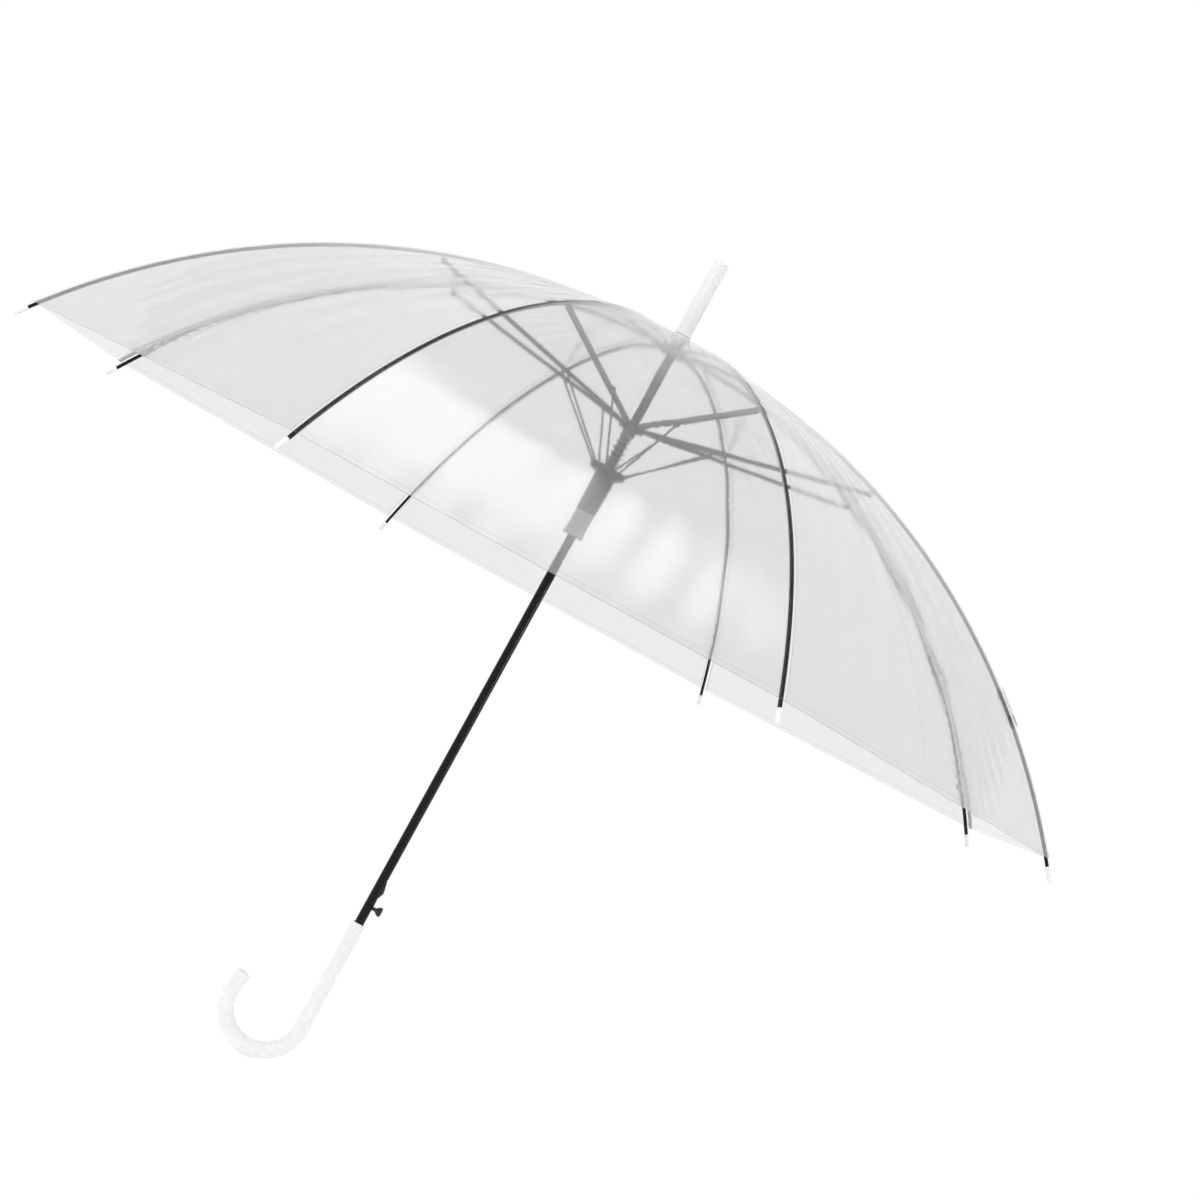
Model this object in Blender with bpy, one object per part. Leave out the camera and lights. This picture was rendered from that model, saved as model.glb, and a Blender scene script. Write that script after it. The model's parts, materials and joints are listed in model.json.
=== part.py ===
"""Clear-film stick umbrella, open, with a hooked handle and an automatic opening frame.

Units are metres.  +Z runs up the shaft from the handle to the ferrule, the origin is on the
shaft's axis at the lowest point of the hook, and the hook curls towards -X.  The release
button and the catch are on +X.  Each of the ribs lies in a plane through the shaft's axis.
"""

import math

import bmesh
import bpy
from mathutils import Matrix, Vector

MM = 0.001

# ---------------------------------------------------------------- driving dimensions

# Fits
FIT_GAP = 0.3 * MM          # between pieces that touch on the real umbrella
RUN_GAP = 0.4 * MM          # between pieces that move past each other

# Canopy
RIB_COUNT = 8
FIRST_RIB_ANGLE = math.radians(22.5)
DOME_RADIUS = 597.0 * MM    # curvature of the film along a rib
RIM_RADIUS = 475.0 * MM     # shaft axis to a corner of the film
RIM_HEIGHT = 457.0 * MM     # corner of the film above the lowest point of the handle
FILM_THICKNESS = 0.2 * MM
FILM_HOLE_RADIUS = 5.2 * MM

# Ribs
RIB_WIDTH = 2.2 * MM
RIB_HEIGHT = 2.6 * MM
RIB_FILM_GAP = 0.9 * MM     # rib to film, so that the film's ridge clears the rib's corners
RIB_END_GAP = 0.5 * MM      # each length of rib stops this far before its bend
BEND_PAST_LUG = 3.5 * MM    # from the stretcher's pin to the first bend of the rib
RIB_PAST_FILM = 6.0 * MM    # full section of the rib past the corner of the film
TIP_LENGTH = 12.5 * MM
TIP_RADIUS = 2.1 * MM
TIP_BORE_DEPTH = 8.0 * MM
TIP_STEM_RADIUS = 0.9 * MM

# Frame
CROWN_DROP = 9.6 * MM       # top of the film to the ribs' pivots
STRETCHER_REACH = 211.0 * MM    # shaft axis to the pin where stretcher and rib meet
LUG_DROP = 4.3 * MM         # middle of the rib to that pin
LUG_HALF_WIDTH = 1.3 * MM
EYE_RADIUS = 1.8 * MM
EYE_HOLE_RADIUS = 0.95 * MM
EYE_RELIEF = 0.05 * MM      # an eye is thinner than its bar by this on each side
PIN_RADIUS = 0.5 * MM
PIN_EMBED = 0.4 * MM        # end of a hinge wire inside its cheeks
RIVET_HEAD_RADIUS = 1.3 * MM
RIVET_HEAD_HEIGHT = 0.6 * MM
STRETCHER_HEIGHT = 3.0 * MM
STRETCHER_WALL = 0.7 * MM
TONGUE_LENGTH = 6.0 * MM    # flat end of the stretcher inside the runner's slot
TONGUE_ROOT = 3.0 * MM      # solid length where the tongue joins the channel
EAR_LENGTH = 5.0 * MM       # open fork at the stretcher's outer end
STRUT_RADIUS = 0.9 * MM
STRUT_REACH = 69.0 * MM     # upper runner's pivot to the strut's pin, along the stretcher
RUNNER_SPREAD = 42.0 * MM   # upper to lower runner's pivots while the umbrella is open

# Crown and runners
HUB_WALL = 2.3 * MM
FLANGE_HEIGHT = 7.0 * MM
FLANGE_LIP = 2.4 * MM       # flange past the pivots
COLLAR_LENGTH = 4.5 * MM
COLLAR_WALL = 1.6 * MM
SLEEVE_LENGTH = 62.0 * MM   # lower runner, from its pivots down
SLEEVE_WALL = 1.5 * MM
SLEEVE_FLOOR = 3.0 * MM
SLEEVE_FLARE = 0.8 * MM     # grip ring at the sleeve's lower end
SLEEVE_RING = 2.0 * MM
SLEEVE_TAPER = 2.0 * MM
FLANGE_TAPER = 3.0 * MM     # cone under the lower flange
LOWER_FLANGE_HEIGHT = 5.0 * MM
SPRING_WIRE_RADIUS = 0.6 * MM
SPRING_PLAY = 0.8 * MM      # spring to shaft and spring to sleeve
SPRING_TURNS = 9

# Shaft
SHAFT_RADIUS = 4.0 * MM
SHAFT_WALL = 0.6 * MM
SHAFT_IN_HANDLE = 48.0 * MM
SHAFT_IN_FERRULE = 38.0 * MM

# Handle
HANDLE_TOP = 140.0 * MM
HANDLE_TOP_WALL = 1.6 * MM
HANDLE_BEND_RADIUS = 7.2 * MM
HANDLE_END_RADIUS = 6.3 * MM
HOOK_RADIUS = 33.0 * MM     # middle line of the hook
HOOK_SWEEP = math.radians(187.0)
HOOK_LEG = 16.0 * MM
GRIP_SWELL = 0.6            # share of the thickening reached where the hook starts

# Ferrule and cap
CAP_BRIM = 5.7 * MM         # from the bore to the cap's edge
CAP_HEIGHT = 4.8 * MM
CAP_EDGE = 1.2 * MM
FERRULE_LENGTH = 70.0 * MM
FERRULE_BASE_WALL = 3.0 * MM
FERRULE_TOP_WALL = 2.3 * MM
FERRULE_EDGE = 0.9 * MM

# Button and catch
BUTTON_HEIGHT = 156.0 * MM
BUTTON_RADIUS = 4.1 * MM
BUTTON_LENGTH = 5.2 * MM
BUTTON_STEM_RADIUS = 1.6 * MM
BUTTON_TRAVEL = 3.0 * MM
BUTTON_NECK = 0.6 * MM      # head's root inside its edge
BUTTON_EDGE = 1.0 * MM
BUTTON_FOOT_LIP = 0.6 * MM
BUTTON_FOOT_DEPTH = 1.6 * MM    # foot below the shaft's inner wall
BUTTON_FOOT_THICKNESS = 0.8 * MM
CATCH_BOTTOM = 165.0 * MM
CATCH_LENGTH = 16.5 * MM
CATCH_PEAK = 0.36           # share of the length below the highest point of the catch
CATCH_SHARE = 0.8           # catch's travel for each unit of the button's
CATCH_SINK = 0.2 * MM       # pressed catch below the shaft's surface
CATCH_WIDTH = 2.0 * MM
CATCH_WALL_GAP = 0.6 * MM
CATCH_DEPTH = 2.4 * MM
CATCH_FOOT = 2.6 * MM       # catch past each end of its window, inside the shaft

# Strap
STRAP_RIB = 8
STRAP_LENGTH = 34.0 * MM
STRAP_WIDTH = 14.0 * MM
STRAP_THICKNESS = 0.8 * MM
STRAP_PLACE = 0.78          # share of the film's length along its rib
SNAP_RADIUS = 5.0 * MM
SNAP_HEIGHT = 1.0 * MM

# Facets
ROUND_SIDES = 24
SMALL_SIDES = 10
RIB_STEPS = 7
SEAM = 0.1 * MM             # overlap of shapes that are joined into one piece

# ---------------------------------------------------------------- derived dimensions

DOME_CENTRE = RIM_HEIGHT - math.sqrt(DOME_RADIUS ** 2 - RIM_RADIUS ** 2)
APEX_HEIGHT = DOME_CENTRE + DOME_RADIUS
RIM_ANGLE = math.asin(RIM_RADIUS / DOME_RADIUS)
RIB_ARC_RADIUS = DOME_RADIUS - FILM_THICKNESS / 2 - RIB_FILM_GAP - RIB_HEIGHT / 2

BORE_RADIUS = SHAFT_RADIUS + FIT_GAP
HANDLE_TOP_RADIUS = BORE_RADIUS + HANDLE_TOP_WALL
CAP_RADIUS = BORE_RADIUS + CAP_BRIM
FERRULE_BASE_RADIUS = BORE_RADIUS + FERRULE_BASE_WALL
FERRULE_TOP_RADIUS = BORE_RADIUS + FERRULE_TOP_WALL
BUTTON_FOOT_RADIUS = BUTTON_STEM_RADIUS + BUTTON_FOOT_LIP
CATCH_TRAVEL = CATCH_SHARE * BUTTON_TRAVEL
CATCH_RISE = CATCH_TRAVEL - CATCH_SINK
HUB_RADIUS = BORE_RADIUS + HUB_WALL
PIVOT_RADIUS = HUB_RADIUS + EYE_RADIUS + 1.5 * RUN_GAP
FLANGE_RADIUS = PIVOT_RADIUS + FLANGE_LIP
SLOT_WIDTH = RIB_WIDTH + 3 * RUN_GAP
CROWN_HEIGHT = APEX_HEIGHT - CROWN_DROP

LUG_ANGLE = math.asin(STRETCHER_REACH / (RIB_ARC_RADIUS - LUG_DROP))
LUG_HEIGHT = DOME_CENTRE + (RIB_ARC_RADIUS - LUG_DROP) * math.cos(LUG_ANGLE)
UPPER_HEIGHT = 2 * LUG_HEIGHT - CROWN_HEIGHT    # stretcher as long as the rib's inner length
LOWER_HEIGHT = UPPER_HEIGHT - RUNNER_SPREAD
STRETCHER_LENGTH = math.hypot(STRETCHER_REACH - PIVOT_RADIUS, CROWN_HEIGHT - LUG_HEIGHT)
STRETCHER_RISE = math.atan2(LUG_HEIGHT - UPPER_HEIGHT, STRETCHER_REACH - PIVOT_RADIUS)
STRETCHER_WIDTH = RIB_WIDTH + 2 * RUN_GAP + 2 * STRETCHER_WALL

STRUT_SIDE = STRETCHER_WIDTH / 2 + RUN_GAP + STRUT_RADIUS
STRUT_TOP_RADIUS = PIVOT_RADIUS + STRUT_REACH * math.cos(STRETCHER_RISE)
STRUT_TOP_HEIGHT = UPPER_HEIGHT + STRUT_REACH * math.sin(STRETCHER_RISE)
LOWER_PIVOT_RADIUS = FLANGE_RADIUS + 2.5 * RUN_GAP + STRUT_RADIUS
LOWER_FLANGE_RADIUS = LOWER_PIVOT_RADIUS + FLANGE_LIP
STRUT_LENGTH = math.hypot(STRUT_TOP_RADIUS - LOWER_PIVOT_RADIUS, STRUT_TOP_HEIGHT - LOWER_HEIGHT)
STRUT_LEAN = math.atan2(STRUT_TOP_RADIUS - LOWER_PIVOT_RADIUS, STRUT_TOP_HEIGHT - LOWER_HEIGHT)

FIRST_BEND_ANGLE = LUG_ANGLE + BEND_PAST_LUG / RIB_ARC_RADIUS
SECOND_BEND_ANGLE = (FIRST_BEND_ANGLE + RIM_ANGLE) / 2
RIB_END_ANGLE = RIM_ANGLE + RIB_PAST_FILM / RIB_ARC_RADIUS

SPRING_RADIUS = SHAFT_RADIUS + SPRING_PLAY + SPRING_WIRE_RADIUS
SLEEVE_BORE_RADIUS = SPRING_RADIUS + SPRING_WIRE_RADIUS + SPRING_PLAY
SLEEVE_RADIUS = SLEEVE_BORE_RADIUS + SLEEVE_WALL
COLLAR_RADIUS = BORE_RADIUS + COLLAR_WALL

CAP_BOTTOM = APEX_HEIGHT + FILM_THICKNESS / 2 + FIT_GAP
FERRULE_BOTTOM = CAP_BOTTOM + CAP_HEIGHT + FIT_GAP
SHAFT_BOTTOM = HANDLE_TOP - SHAFT_IN_HANDLE
SHAFT_TOP = FERRULE_BOTTOM + SHAFT_IN_FERRULE
HOOK_CENTRE_HEIGHT = HANDLE_BEND_RADIUS + HOOK_RADIUS

# ---------------------------------------------------------------- geometry along a rib


def rib_angle(index):
    """Direction of a rib about the shaft, counting from 1."""
    return FIRST_RIB_ANGLE + (index - 1) * 2 * math.pi / RIB_COUNT


def dome_point(radius, angle):
    """Distance from the shaft and height of a point on a sphere about the dome's centre."""
    return Vector((radius * math.sin(angle), DOME_CENTRE + radius * math.cos(angle)))


def rib_line(angle):
    """The rib's middle line: the dome's arc, dropping to the crown's pivot at its inner end."""
    point = dome_point(RIB_ARC_RADIUS, angle)
    start = math.asin(PIVOT_RADIUS / RIB_ARC_RADIUS)
    level = start + 0.5 * (LUG_ANGLE - start)
    if angle < level:
        share = (angle - start) / (level - start)
        drop = dome_point(RIB_ARC_RADIUS, start).y - CROWN_HEIGHT
        point.y -= drop * (1 - share) ** 2
    return point


def steps(start, end, count):
    """Evenly spaced values from start to end."""
    return [start + (end - start) * i / count for i in range(count + 1)]


def strip_outline(points, height):
    """Outline of a strip of the given height about a line of points in the rib's plane."""
    upper = []
    lower = []
    for i, point in enumerate(points):
        before = points[max(i - 1, 0)]
        after = points[min(i + 1, len(points) - 1)]
        along = (after - before).normalized()
        normal = Vector((-along.y, along.x))
        upper.append(point + normal * height / 2)
        lower.append(point - normal * height / 2)
    return upper + lower[::-1]


def arc_points(centre, radius, start, end, count):
    """Points on an arc in the rib's plane."""
    return [centre + radius * Vector((math.cos(a), math.sin(a))) for a in steps(start, end, count)]


# ---------------------------------------------------------------- mesh tools


def finished(form, name):
    """Turn a bmesh into a mesh with its faces pointing out."""
    bmesh.ops.recalc_face_normals(form, faces=form.faces)
    mesh = bpy.data.meshes.new(name)
    form.to_mesh(mesh)
    form.free()
    return mesh


def prism(outline, low, high):
    """A flat outline in the XZ plane, thickened along Y from low to high."""
    form = bmesh.new()
    corners = [form.verts.new((point[0], low, point[1])) for point in outline]
    face = form.faces.new(corners)
    extruded = bmesh.ops.extrude_face_region(form, geom=[face])
    moved = [item for item in extruded["geom"] if isinstance(item, bmesh.types.BMVert)]
    bmesh.ops.translate(form, verts=moved, vec=(0, high - low, 0))
    return finished(form, "prism")


def box(low, high, turn=0.0):
    """A block between two corners, turned about the shaft's axis."""
    form = bmesh.new()
    middle = (Vector(low) + Vector(high)) / 2
    size = Vector(high) - Vector(low)
    place = Matrix.Rotation(turn, 4, "Z") @ Matrix.Translation(middle) @ Matrix.Diagonal((*size, 1))
    bmesh.ops.create_cube(form, size=1.0, matrix=place)
    return finished(form, "box")


def rod(start, end, radius, sides=SMALL_SIDES):
    """A round bar between two points."""
    form = bmesh.new()
    line = Vector(end) - Vector(start)
    middle = (Vector(end) + Vector(start)) / 2
    place = Matrix.Translation(middle) @ line.to_track_quat("Z", "Y").to_matrix().to_4x4()
    bmesh.ops.create_cone(
        form,
        cap_ends=True,
        segments=sides,
        radius1=radius,
        radius2=radius,
        depth=line.length,
        matrix=place,
    )
    return finished(form, "rod")


def turned(profile, sides=ROUND_SIDES):
    """A closed profile of (radius, height) points, turned about the Z axis."""
    form = bmesh.new()
    corners = [form.verts.new((radius, 0, height)) for radius, height in profile]
    edges = [form.edges.new((a, b)) for a, b in zip(corners, corners[1:] + corners[:1])]
    bmesh.ops.spin(
        form,
        geom=corners + edges,
        axis=(0, 0, 1),
        cent=(0, 0, 0),
        steps=sides,
        angle=2 * math.pi,
    )
    bmesh.ops.remove_doubles(form, verts=form.verts, dist=1e-6)
    flat = [edge for edge in form.edges if not edge.link_faces]
    bmesh.ops.delete(form, geom=flat, context="EDGES")
    return finished(form, "turned")


def swept(points, radii, sides):
    """A round bar along points in the XZ plane, with its own radius at each point."""
    form = bmesh.new()
    rings = []
    for i, (point, radius) in enumerate(zip(points, radii)):
        before = points[max(i - 1, 0)]
        after = points[min(i + 1, len(points) - 1)]
        along = (after - before).normalized()
        across = Vector((-along.y, along.x))
        ring = []
        for k in range(sides):
            turn = 2 * math.pi * k / sides
            flat = point + across * radius * math.cos(turn)
            ring.append(form.verts.new((flat.x, radius * math.sin(turn), flat.y)))
        rings.append(ring)
    for ring, following in zip(rings, rings[1:]):
        for k in range(sides):
            j = (k + 1) % sides
            form.faces.new((ring[k], ring[j], following[j], following[k]))
    form.faces.new(rings[0])
    form.faces.new(rings[-1])
    return finished(form, "swept")


def combined(base, tools, operation):
    """Join or cut a mesh with others, and return the resulting mesh."""
    body = bpy.data.objects.new("body", base)
    bpy.context.scene.collection.objects.link(body)
    helpers = [body]
    for tool in tools:
        helper = bpy.data.objects.new("helper", tool)
        bpy.context.scene.collection.objects.link(helper)
        helpers.append(helper)
        modifier = body.modifiers.new("shape", "BOOLEAN")
        modifier.operation = operation
        modifier.solver = "EXACT"
        modifier.object = helper
    graph = bpy.context.evaluated_depsgraph_get()
    result = bpy.data.meshes.new_from_object(body.evaluated_get(graph))
    for helper in helpers:
        bpy.data.objects.remove(helper)
    return result


def joined(base, *tools):
    return combined(base, tools, "UNION")


def cut(base, *tools):
    return combined(base, tools, "DIFFERENCE")


# ---------------------------------------------------------------- materials and placing


def material(name, colour, roughness, metallic=0.0, alpha=1.0):
    """A Principled material with one colour."""
    made = bpy.data.materials.new(name)
    made.use_nodes = True
    shader = made.node_tree.nodes["Principled BSDF"]
    shader.inputs["Base Color"].default_value = (*colour, 1.0)
    shader.inputs["Roughness"].default_value = roughness
    shader.inputs["Metallic"].default_value = metallic
    shader.inputs["Alpha"].default_value = alpha
    made.diffuse_color = (*colour, alpha)
    return made


def add(name, mesh, finish, parent=None, location=(0, 0, 0), pitch=0.0, turn=0.0):
    """Put a mesh in the scene; pitch tips +X down, turn goes about the shaft's axis."""
    made = bpy.data.objects.new(name, mesh)
    bpy.context.scene.collection.objects.link(made)
    if finish.name not in mesh.materials:
        mesh.materials.append(finish)
    if made.type == "MESH":
        mesh.shade_smooth()
        mesh.set_sharp_from_angle(angle=math.radians(35))
    made.location = location
    made.rotation_euler = (0, pitch, turn)
    if parent:
        made.parent = parent
    return made


# ---------------------------------------------------------------- fixed pieces


def shaft_mesh():
    """Steel tube with a window for the catch and a hole for the button."""
    inner = SHAFT_RADIUS - SHAFT_WALL
    profile = [
        (inner, SHAFT_BOTTOM),
        (SHAFT_RADIUS, SHAFT_BOTTOM),
        (SHAFT_RADIUS, SHAFT_TOP),
        (inner, SHAFT_TOP),
    ]
    window = box(
        (0, -CATCH_WIDTH / 2 - RUN_GAP, CATCH_BOTTOM - RUN_GAP),
        (2 * SHAFT_RADIUS, CATCH_WIDTH / 2 + RUN_GAP, CATCH_BOTTOM + CATCH_LENGTH + RUN_GAP),
    )
    hole = rod(
        (0, 0, BUTTON_HEIGHT),
        (2 * SHAFT_RADIUS, 0, BUTTON_HEIGHT),
        BUTTON_STEM_RADIUS + RUN_GAP,
        sides=16,
    )
    return cut(turned(profile), window, hole)


def handle_mesh():
    """Moulded J: straight grip, hook and a short leg, bored for the shaft."""
    straight = steps(HANDLE_TOP, HOOK_CENTRE_HEIGHT, 5)
    points = [Vector((0, height)) for height in straight]
    radii = [
        HANDLE_TOP_RADIUS + (HANDLE_BEND_RADIUS - HANDLE_TOP_RADIUS) * share ** 2 * GRIP_SWELL
        for share in steps(0, 1, 5)
    ]
    hook_start_radius = radii[-1]
    centre = Vector((-HOOK_RADIUS, HOOK_CENTRE_HEIGHT))
    turns = steps(0, HOOK_SWEEP, 18)[1:]
    for turn in turns:
        points.append(centre + HOOK_RADIUS * Vector((math.cos(turn), -math.sin(turn))))
        if turn < math.pi / 2:
            share = math.sin(turn)
            radii.append(hook_start_radius + (HANDLE_BEND_RADIUS - hook_start_radius) * share)
        else:
            share = (turn - math.pi / 2) / (HOOK_SWEEP - math.pi / 2)
            radii.append(HANDLE_BEND_RADIUS + (HANDLE_END_RADIUS - HANDLE_BEND_RADIUS) * share)
    leg = Vector((-math.sin(HOOK_SWEEP), -math.cos(HOOK_SWEEP)))
    leg_start = points[-1].copy()
    dome = steps(0, math.radians(75), 3)
    for angle in dome:
        reach = HOOK_LEG - 0.5 * HANDLE_END_RADIUS * (1 - math.sin(angle))
        points.append(leg_start + leg * reach)
        radii.append(HANDLE_END_RADIUS * (0.35 + 0.65 * math.cos(angle)))
    bore = rod(
        (0, 0, SHAFT_BOTTOM - FIT_GAP),
        (0, 0, HANDLE_TOP + HOOK_LEG),
        BORE_RADIUS,
        sides=ROUND_SIDES,
    )
    return cut(swept(points, radii, 16), bore)


def ferrule_mesh():
    """Tapered plastic end with a flat top, bored from below for the shaft."""
    top = FERRULE_BOTTOM + FERRULE_LENGTH
    profile = [
        (0, top),
        (0, SHAFT_TOP + FIT_GAP),
        (BORE_RADIUS, SHAFT_TOP + FIT_GAP),
        (BORE_RADIUS, FERRULE_BOTTOM),
        (FERRULE_BASE_RADIUS, FERRULE_BOTTOM),
        (FERRULE_TOP_RADIUS, top - FERRULE_EDGE),
        (FERRULE_TOP_RADIUS - FERRULE_EDGE, top),
    ]
    return turned(profile)


def top_cap_mesh():
    """White washer that clamps the film to the crown."""
    top = CAP_BOTTOM + CAP_HEIGHT
    profile = [
        (BORE_RADIUS, CAP_BOTTOM),
        (CAP_RADIUS, CAP_BOTTOM),
        (CAP_RADIUS, top - CAP_EDGE),
        (CAP_RADIUS - CAP_EDGE, top),
        (BORE_RADIUS, top),
    ]
    return turned(profile)


def slotted_flange(profile, height, hub_radius, pivot_radius, slot_side, slot_width):
    """A turned body with one slot for each rib, and a hinge wire across each slot."""
    reach = 2 * pivot_radius
    tall = FLANGE_HEIGHT / 2 + RUN_GAP
    cutters = []
    wires = []
    for index in range(1, RIB_COUNT + 1):
        turn = rib_angle(index)
        cutters.append(
            box(
                (hub_radius, slot_side - slot_width / 2, height - tall),
                (reach, slot_side + slot_width / 2, height + tall),
                turn,
            )
        )
        along = Matrix.Rotation(turn, 4, "Z")
        reach_in = slot_width / 2 + PIN_EMBED
        near = along @ Vector((pivot_radius, slot_side - reach_in, height))
        far = along @ Vector((pivot_radius, slot_side + reach_in, height))
        wires.append(rod(near, far, PIN_RADIUS, sides=8))
    return joined(cut(turned(profile), *cutters), *wires)


def crown_mesh():
    """Notch that holds the ribs' inner ends, with a hub that reaches up to the film."""
    low = CROWN_HEIGHT - FLANGE_HEIGHT / 2
    high = CROWN_HEIGHT + FLANGE_HEIGHT / 2
    hub_top = APEX_HEIGHT - FILM_THICKNESS / 2 - 1.5 * FIT_GAP
    profile = [
        (BORE_RADIUS, low),
        (FLANGE_RADIUS, low),
        (FLANGE_RADIUS, high),
        (HUB_RADIUS, high),
        (HUB_RADIUS, hub_top),
        (BORE_RADIUS, hub_top),
    ]
    return slotted_flange(profile, CROWN_HEIGHT, HUB_RADIUS, PIVOT_RADIUS, 0, SLOT_WIDTH)


def canopy_mesh():
    """Eight welded gores: straight between neighbouring ribs and curved along them."""
    form = bmesh.new()
    angles = steps(math.asin(FILM_HOLE_RADIUS / DOME_RADIUS), RIM_ANGLE, 15)
    layers = []
    for offset in (FILM_THICKNESS / 2, -FILM_THICKNESS / 2):
        rings = []
        for angle in angles:
            flat = dome_point(DOME_RADIUS + offset, angle)
            ring = []
            for index in range(1, RIB_COUNT + 1):
                turn = rib_angle(index)
                place = (flat.x * math.cos(turn), flat.x * math.sin(turn), flat.y)
                ring.append(form.verts.new(place))
            rings.append(ring)
        layers.append(rings)
    outer, inner = layers
    for k in range(RIB_COUNT):
        j = (k + 1) % RIB_COUNT
        for rings in layers:
            for ring, following in zip(rings, rings[1:]):
                form.faces.new((ring[k], ring[j], following[j], following[k]))
        form.faces.new((outer[0][k], outer[0][j], inner[0][j], inner[0][k]))
        form.faces.new((outer[-1][k], outer[-1][j], inner[-1][j], inner[-1][k]))
    return finished(form, "canopy")


# ---------------------------------------------------------------- ribs


def in_local(points, origin):
    return [point - origin for point in points]


def crown_pivot():
    return Vector((PIVOT_RADIUS, CROWN_HEIGHT))


def inner_rib_mesh():
    """Crown eye, first length of the rib, and the lug with the stretcher's pin."""
    origin = crown_pivot()
    start = math.asin(PIVOT_RADIUS / RIB_ARC_RADIUS)
    end = FIRST_BEND_ANGLE - RIB_END_GAP / RIB_ARC_RADIUS
    line = in_local([rib_line(a) for a in steps(start, end, RIB_STEPS + 3)], origin)
    bar = prism(strip_outline(line, RIB_HEIGHT), -RIB_WIDTH / 2, RIB_WIDTH / 2)
    thin = RIB_WIDTH / 2 - EYE_RELIEF
    eye = rod((0, -thin, 0), (0, thin, 0), EYE_RADIUS, sides=14)
    hole = rod((0, -RIB_WIDTH, 0), (0, RIB_WIDTH, 0), EYE_HOLE_RADIUS)
    pin_place = dome_point(RIB_ARC_RADIUS - LUG_DROP, LUG_ANGLE) - origin
    root = dome_point(RIB_ARC_RADIUS, LUG_ANGLE) - origin
    down = (pin_place - root).normalized()
    along = Vector((-down.y, down.x))
    lean = math.atan2(down.y, down.x)
    quarter = math.pi / 2
    round_end = arc_points(pin_place, LUG_HALF_WIDTH, lean - quarter, lean + quarter, 6)
    side = along * LUG_HALF_WIDTH
    lug_outline = round_end + [root + side, root - side]
    lug = prism(lug_outline, -thin, thin)
    pin = rod(
        (pin_place.x, -STRETCHER_WIDTH / 2 - RUN_GAP, pin_place.y),
        (pin_place.x, STRETCHER_WIDTH / 2 + RUN_GAP, pin_place.y),
        PIN_RADIUS,
        sides=8,
    )
    return cut(joined(bar, eye, lug, pin), hole)


def rib_length_mesh(start_angle, end_angle):
    """A plain length of rib; its own origin is the bend at its inner end."""
    origin = rib_line(start_angle)
    first = start_angle + RIB_END_GAP / RIB_ARC_RADIUS
    last = end_angle - RIB_END_GAP / RIB_ARC_RADIUS
    line = in_local([rib_line(a) for a in steps(first, last, RIB_STEPS)], origin)
    return prism(strip_outline(line, RIB_HEIGHT), -RIB_WIDTH / 2, RIB_WIDTH / 2)


def outer_rib_mesh():
    """Last length of rib, thinned to a stem inside the tip."""
    bar = rib_length_mesh(SECOND_BEND_ANGLE, RIB_END_ANGLE)
    origin = rib_line(SECOND_BEND_ANGLE)
    start = rib_line(RIB_END_ANGLE - 3 * MM / RIB_ARC_RADIUS) - origin
    end = tip_place() + tip_direction() * (TIP_BORE_DEPTH - FIT_GAP) - origin
    stem = rod((start.x, 0, start.y), (end.x, 0, end.y), TIP_STEM_RADIUS, sides=8)
    return joined(bar, stem)


def tip_place():
    return rib_line(RIB_END_ANGLE)


def tip_direction():
    return Vector((math.cos(RIB_END_ANGLE), -math.sin(RIB_END_ANGLE)))


def tip_mesh():
    """Plastic tip along +X: a round-ended cap with a blind bore for the rib's stem."""
    bore = TIP_STEM_RADIUS + FIT_GAP + 0.1 * MM
    profile = [
        (bore, 0),
        (0.85 * TIP_RADIUS, 0),
        (TIP_RADIUS, 1.5 * MM),
        (TIP_RADIUS, TIP_LENGTH - 1.5 * MM),
        (0.7 * TIP_RADIUS, TIP_LENGTH - 0.4 * MM),
        (0, TIP_LENGTH),
        (0, TIP_BORE_DEPTH),
        (bore, TIP_BORE_DEPTH),
    ]
    mesh = turned(profile, sides=12)
    mesh.transform(Matrix.Rotation(math.pi / 2, 4, "Y"))
    return mesh


# ---------------------------------------------------------------- stretchers and struts


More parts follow.
